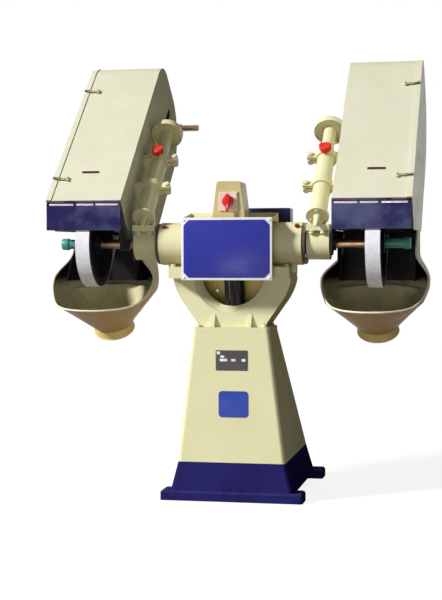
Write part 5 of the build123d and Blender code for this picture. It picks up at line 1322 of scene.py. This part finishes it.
CARRIER_FOOT = Vector((0, -TUBE_AHEAD, 530))
CARRIER_HEAD = Vector((0, 0, IDLER_ALONG))
CARRIER_RADIUS = 16.0
CARRIER_THICKNESS = 16.0
ROUND_END_GAP = 0.1


def build_tray():
    """The sloping tray that closes the belt box and carries the switch box."""
    tray = prism("belt_box_tray", TRAY_SECTION, 2 * TRAY_HALF_WIDTH, edge=1.2)
    settle(tray, Matrix.Translation((-TRAY_HALF_WIDTH, 0, 0)) @ SIDE_ON)
    open_mesh(tray)
    pick(tray, "FACE", lambda point: point.z > TRAY_TOP_LEAST and TRAY_TOP_FRONT < point.y < TRAY_TOP_REAR)
    step_face((TRAY_WALL, -TRAY_DEPTH))
    close_mesh()
    settle(tray, FLOOR_PLACE)
    fit(tray, "cream_casting", "base")


def build_throat():
    """The sloping ring in the cradle's mouth, steep on one side and shallow in front of the drive belts."""
    steep = arched("cradle_throat", THROAT_SIDE, THROAT_START, THROAT_TURN - THROAT_START, steps=20)
    shallow = arched("cradle_throat", THROAT_LIP, THROAT_TURN, THROAT_END - THROAT_TURN, steps=30)
    throat = joined("cradle_throat", steep, shallow)
    settle(throat, FLOOR_PLACE @ facing((0, 0, THROAT_HEIGHT), FRONT))
    fit(throat, "cream_casting", "base")


def build_shaft_sleeves():
    places = [facing((side * SLEEVE_START, 0, 0), (side, 0, 0)) for side in (-1, 1)]
    sleeves = settle(spread("shaft_sleeves", turned("shaft_sleeve", SLEEVE, steps=36), places), SPINDLE_PLACE)
    fit(sleeves, "teal_plastic", "spindle", replaced="end_sleeves")


def build_arm_trim():
    """A bead round each guard's sight slot, and the rim of each slide's disc."""
    width, height = SLOT_SIZE
    slot = outlined("slot_frame", width, height, height / 2 - ROUND_END_GAP)
    bead = settle(beaded(slot, "slot_frame", SLOT_BEAD), facing(SLOT_SPOT, FRONT))
    fit_pair(bead, ARM_PLACE, "slot_maroon", "arm")
    rim = settle(turned("disc_rim", DISC_RIM, steps=48), Matrix.Translation((TUBE_X, -TUBE_AHEAD, 0)))
    fit_pair(rim, ARM_PLACE, "tube_cream", "slide")


def build_idler_carriers():
    """The round-ended plate that holds each idler's axle on its slide."""
    reach = CARRIER_HEAD - CARRIER_FOOT
    width = 2 * CARRIER_RADIUS
    plate = rounded_plate("idler_carrier", reach.length + width, width, CARRIER_RADIUS - ROUND_END_GAP,
                          CARRIER_THICKNESS, edge=1.5, steps=8)
    middle = (CARRIER_FOOT + CARRIER_HEAD) / 2 + Vector((TUBE_X - CARRIER_THICKNESS / 2, 0, 0))
    leaning = Matrix.Rotation(math.atan2(reach.z, reach.y), 4, "X")
    settle(plate, Matrix.Translation(middle) @ leaning @ SIDE_ON)
    fit_pair(plate, ARM_PLACE, "tube_cream", "slide", replaced="idler_bracket")


build_hoods()
build_belts_and_springs()
build_fasteners()
build_latches()
build_hinge_strips()
build_lock_knobs()
build_switch()
build_sign()
build_column_plates()
build_box_cover()
build_grease_cups()
build_tray()
build_throat()
build_shaft_sleeves()
build_arm_trim()
build_idler_carriers()


# Stage, in metres and watts; each lamp has its name, place, size and power

FLOOR_SIZE = 60.0
FLOOR_DEPTH = 0.0005
FLOOR_PALE = (0.25, 0.23, 0.19, 1)
FLOOR_GLOW = 0.86
FLOOR_NEAR = 0.9
FLOOR_FAR = 2.2
SKY_LIGHT = 0.1
WHITE = (1, 1, 1, 1)
LIGHT_TARGET = Vector((0.0, -0.27, 0.85))
LAMPS = (
    ("key", Vector((-19.9, -14.2, 14.85)), 4.0, 11000),
    ("fill", Vector((3.8, -3.6, 1.6)), 3.0, 6),
    ("low", Vector((0.1, -2.9, 0.2)), 1.2, 22),
    ("back", Vector((-1.5, 4.5, 3.4)), 3.0, 50),
)


def ray_share(tree):
    """One for rays that look at the background or see it in metal, and nothing for light on things."""
    rays = add_node(tree, "ShaderNodeLightPath").outputs
    seen = calculate(tree, "MAXIMUM", rays["Is Camera Ray"], rays["Is Glossy Ray"])
    return calculate(tree, "MAXIMUM", seen, rays["Is Transmission Ray"])


def build_floor():
    clear_selection()
    bpy.ops.mesh.primitive_plane_add(size=FLOOR_SIZE, location=(0, 0, -FLOOR_DEPTH))
    floor = bpy.context.object
    floor.name = "floor"
    material = bpy.data.materials.new("pale_floor")
    material.use_nodes = True
    tree = material.node_tree
    tree.nodes.clear()
    lit = add_node(tree, "ShaderNodeBsdfDiffuse", {"Color": FLOOR_PALE})
    glow = add_node(tree, "ShaderNodeEmission", {"Color": WHITE})
    tree.links.new(calculate(tree, "MULTIPLY", ray_share(tree), FLOOR_GLOW), glow.inputs["Strength"])
    near = add_node(tree, "ShaderNodeAddShader", {0: lit.outputs[0], 1: glow.outputs[0]})
    white = add_node(tree, "ShaderNodeEmission", {"Color": WHITE, "Strength": ray_share(tree)})
    where = add_node(tree, "ShaderNodeTexCoord").outputs["Object"]
    away = add_node(tree, "ShaderNodeVectorMath", {0: where}, operation="LENGTH").outputs["Value"]
    faded = remap(tree, away, FLOOR_NEAR, FLOOR_FAR)
    both = add_node(tree, "ShaderNodeMixShader", {0: faded, 1: near.outputs[0], 2: white.outputs[0]})
    out = tree.nodes.new("ShaderNodeOutputMaterial")
    tree.links.new(both.outputs[0], out.inputs["Surface"])
    floor.data.materials.append(material)


def build_sky():
    world = bpy.data.worlds.new("studio")
    bpy.context.scene.world = world
    world.use_nodes = True
    tree = world.node_tree
    sky = tree.nodes["Background"]
    sky.inputs["Color"].default_value = WHITE
    strength = remap(tree, ray_share(tree), 0.0, 1.0, SKY_LIGHT, 1.0)
    tree.links.new(strength, sky.inputs["Strength"])


def build_lamps():
    for name, place, size, power in LAMPS:
        lamp = bpy.data.lights.new(name, "AREA")
        lamp.shape = "DISK"
        lamp.size = size
        lamp.energy = power
        made = bpy.data.objects.new(name, lamp)
        made.location = place
        made.rotation_euler = (LIGHT_TARGET - place).to_track_quat("-Z", "Y").to_euler()
        bpy.context.scene.collection.objects.link(made)


def build_camera():
    yaw = math.radians(CAMERA_YAW)
    pitch = math.radians(CAMERA_PITCH)
    ahead = Vector((-math.sin(yaw) * math.cos(pitch), math.cos(yaw) * math.cos(pitch), -math.sin(pitch)))
    across = Vector((math.cos(yaw), math.sin(yaw), 0.0))
    upward = across.cross(ahead)
    turn = Matrix((across, upward, -ahead)).transposed() @ Matrix.Rotation(math.radians(CAMERA_ROLL), 3, "Z")
    lens = bpy.data.cameras.new("photo_camera")
    lens.sensor_width = SENSOR
    lens.lens = FOCAL_PIXELS * SENSOR / PHOTO_HEIGHT
    camera = bpy.data.objects.new("photo_camera", lens)
    camera.matrix_world = Matrix.Translation(CAMERA_PLACE) @ turn.to_4x4()
    bpy.context.scene.collection.objects.link(camera)
    bpy.context.scene.camera = camera


build_floor()
build_sky()
build_lamps()
build_camera()
bpy.context.scene.view_settings.view_transform = "Standard"
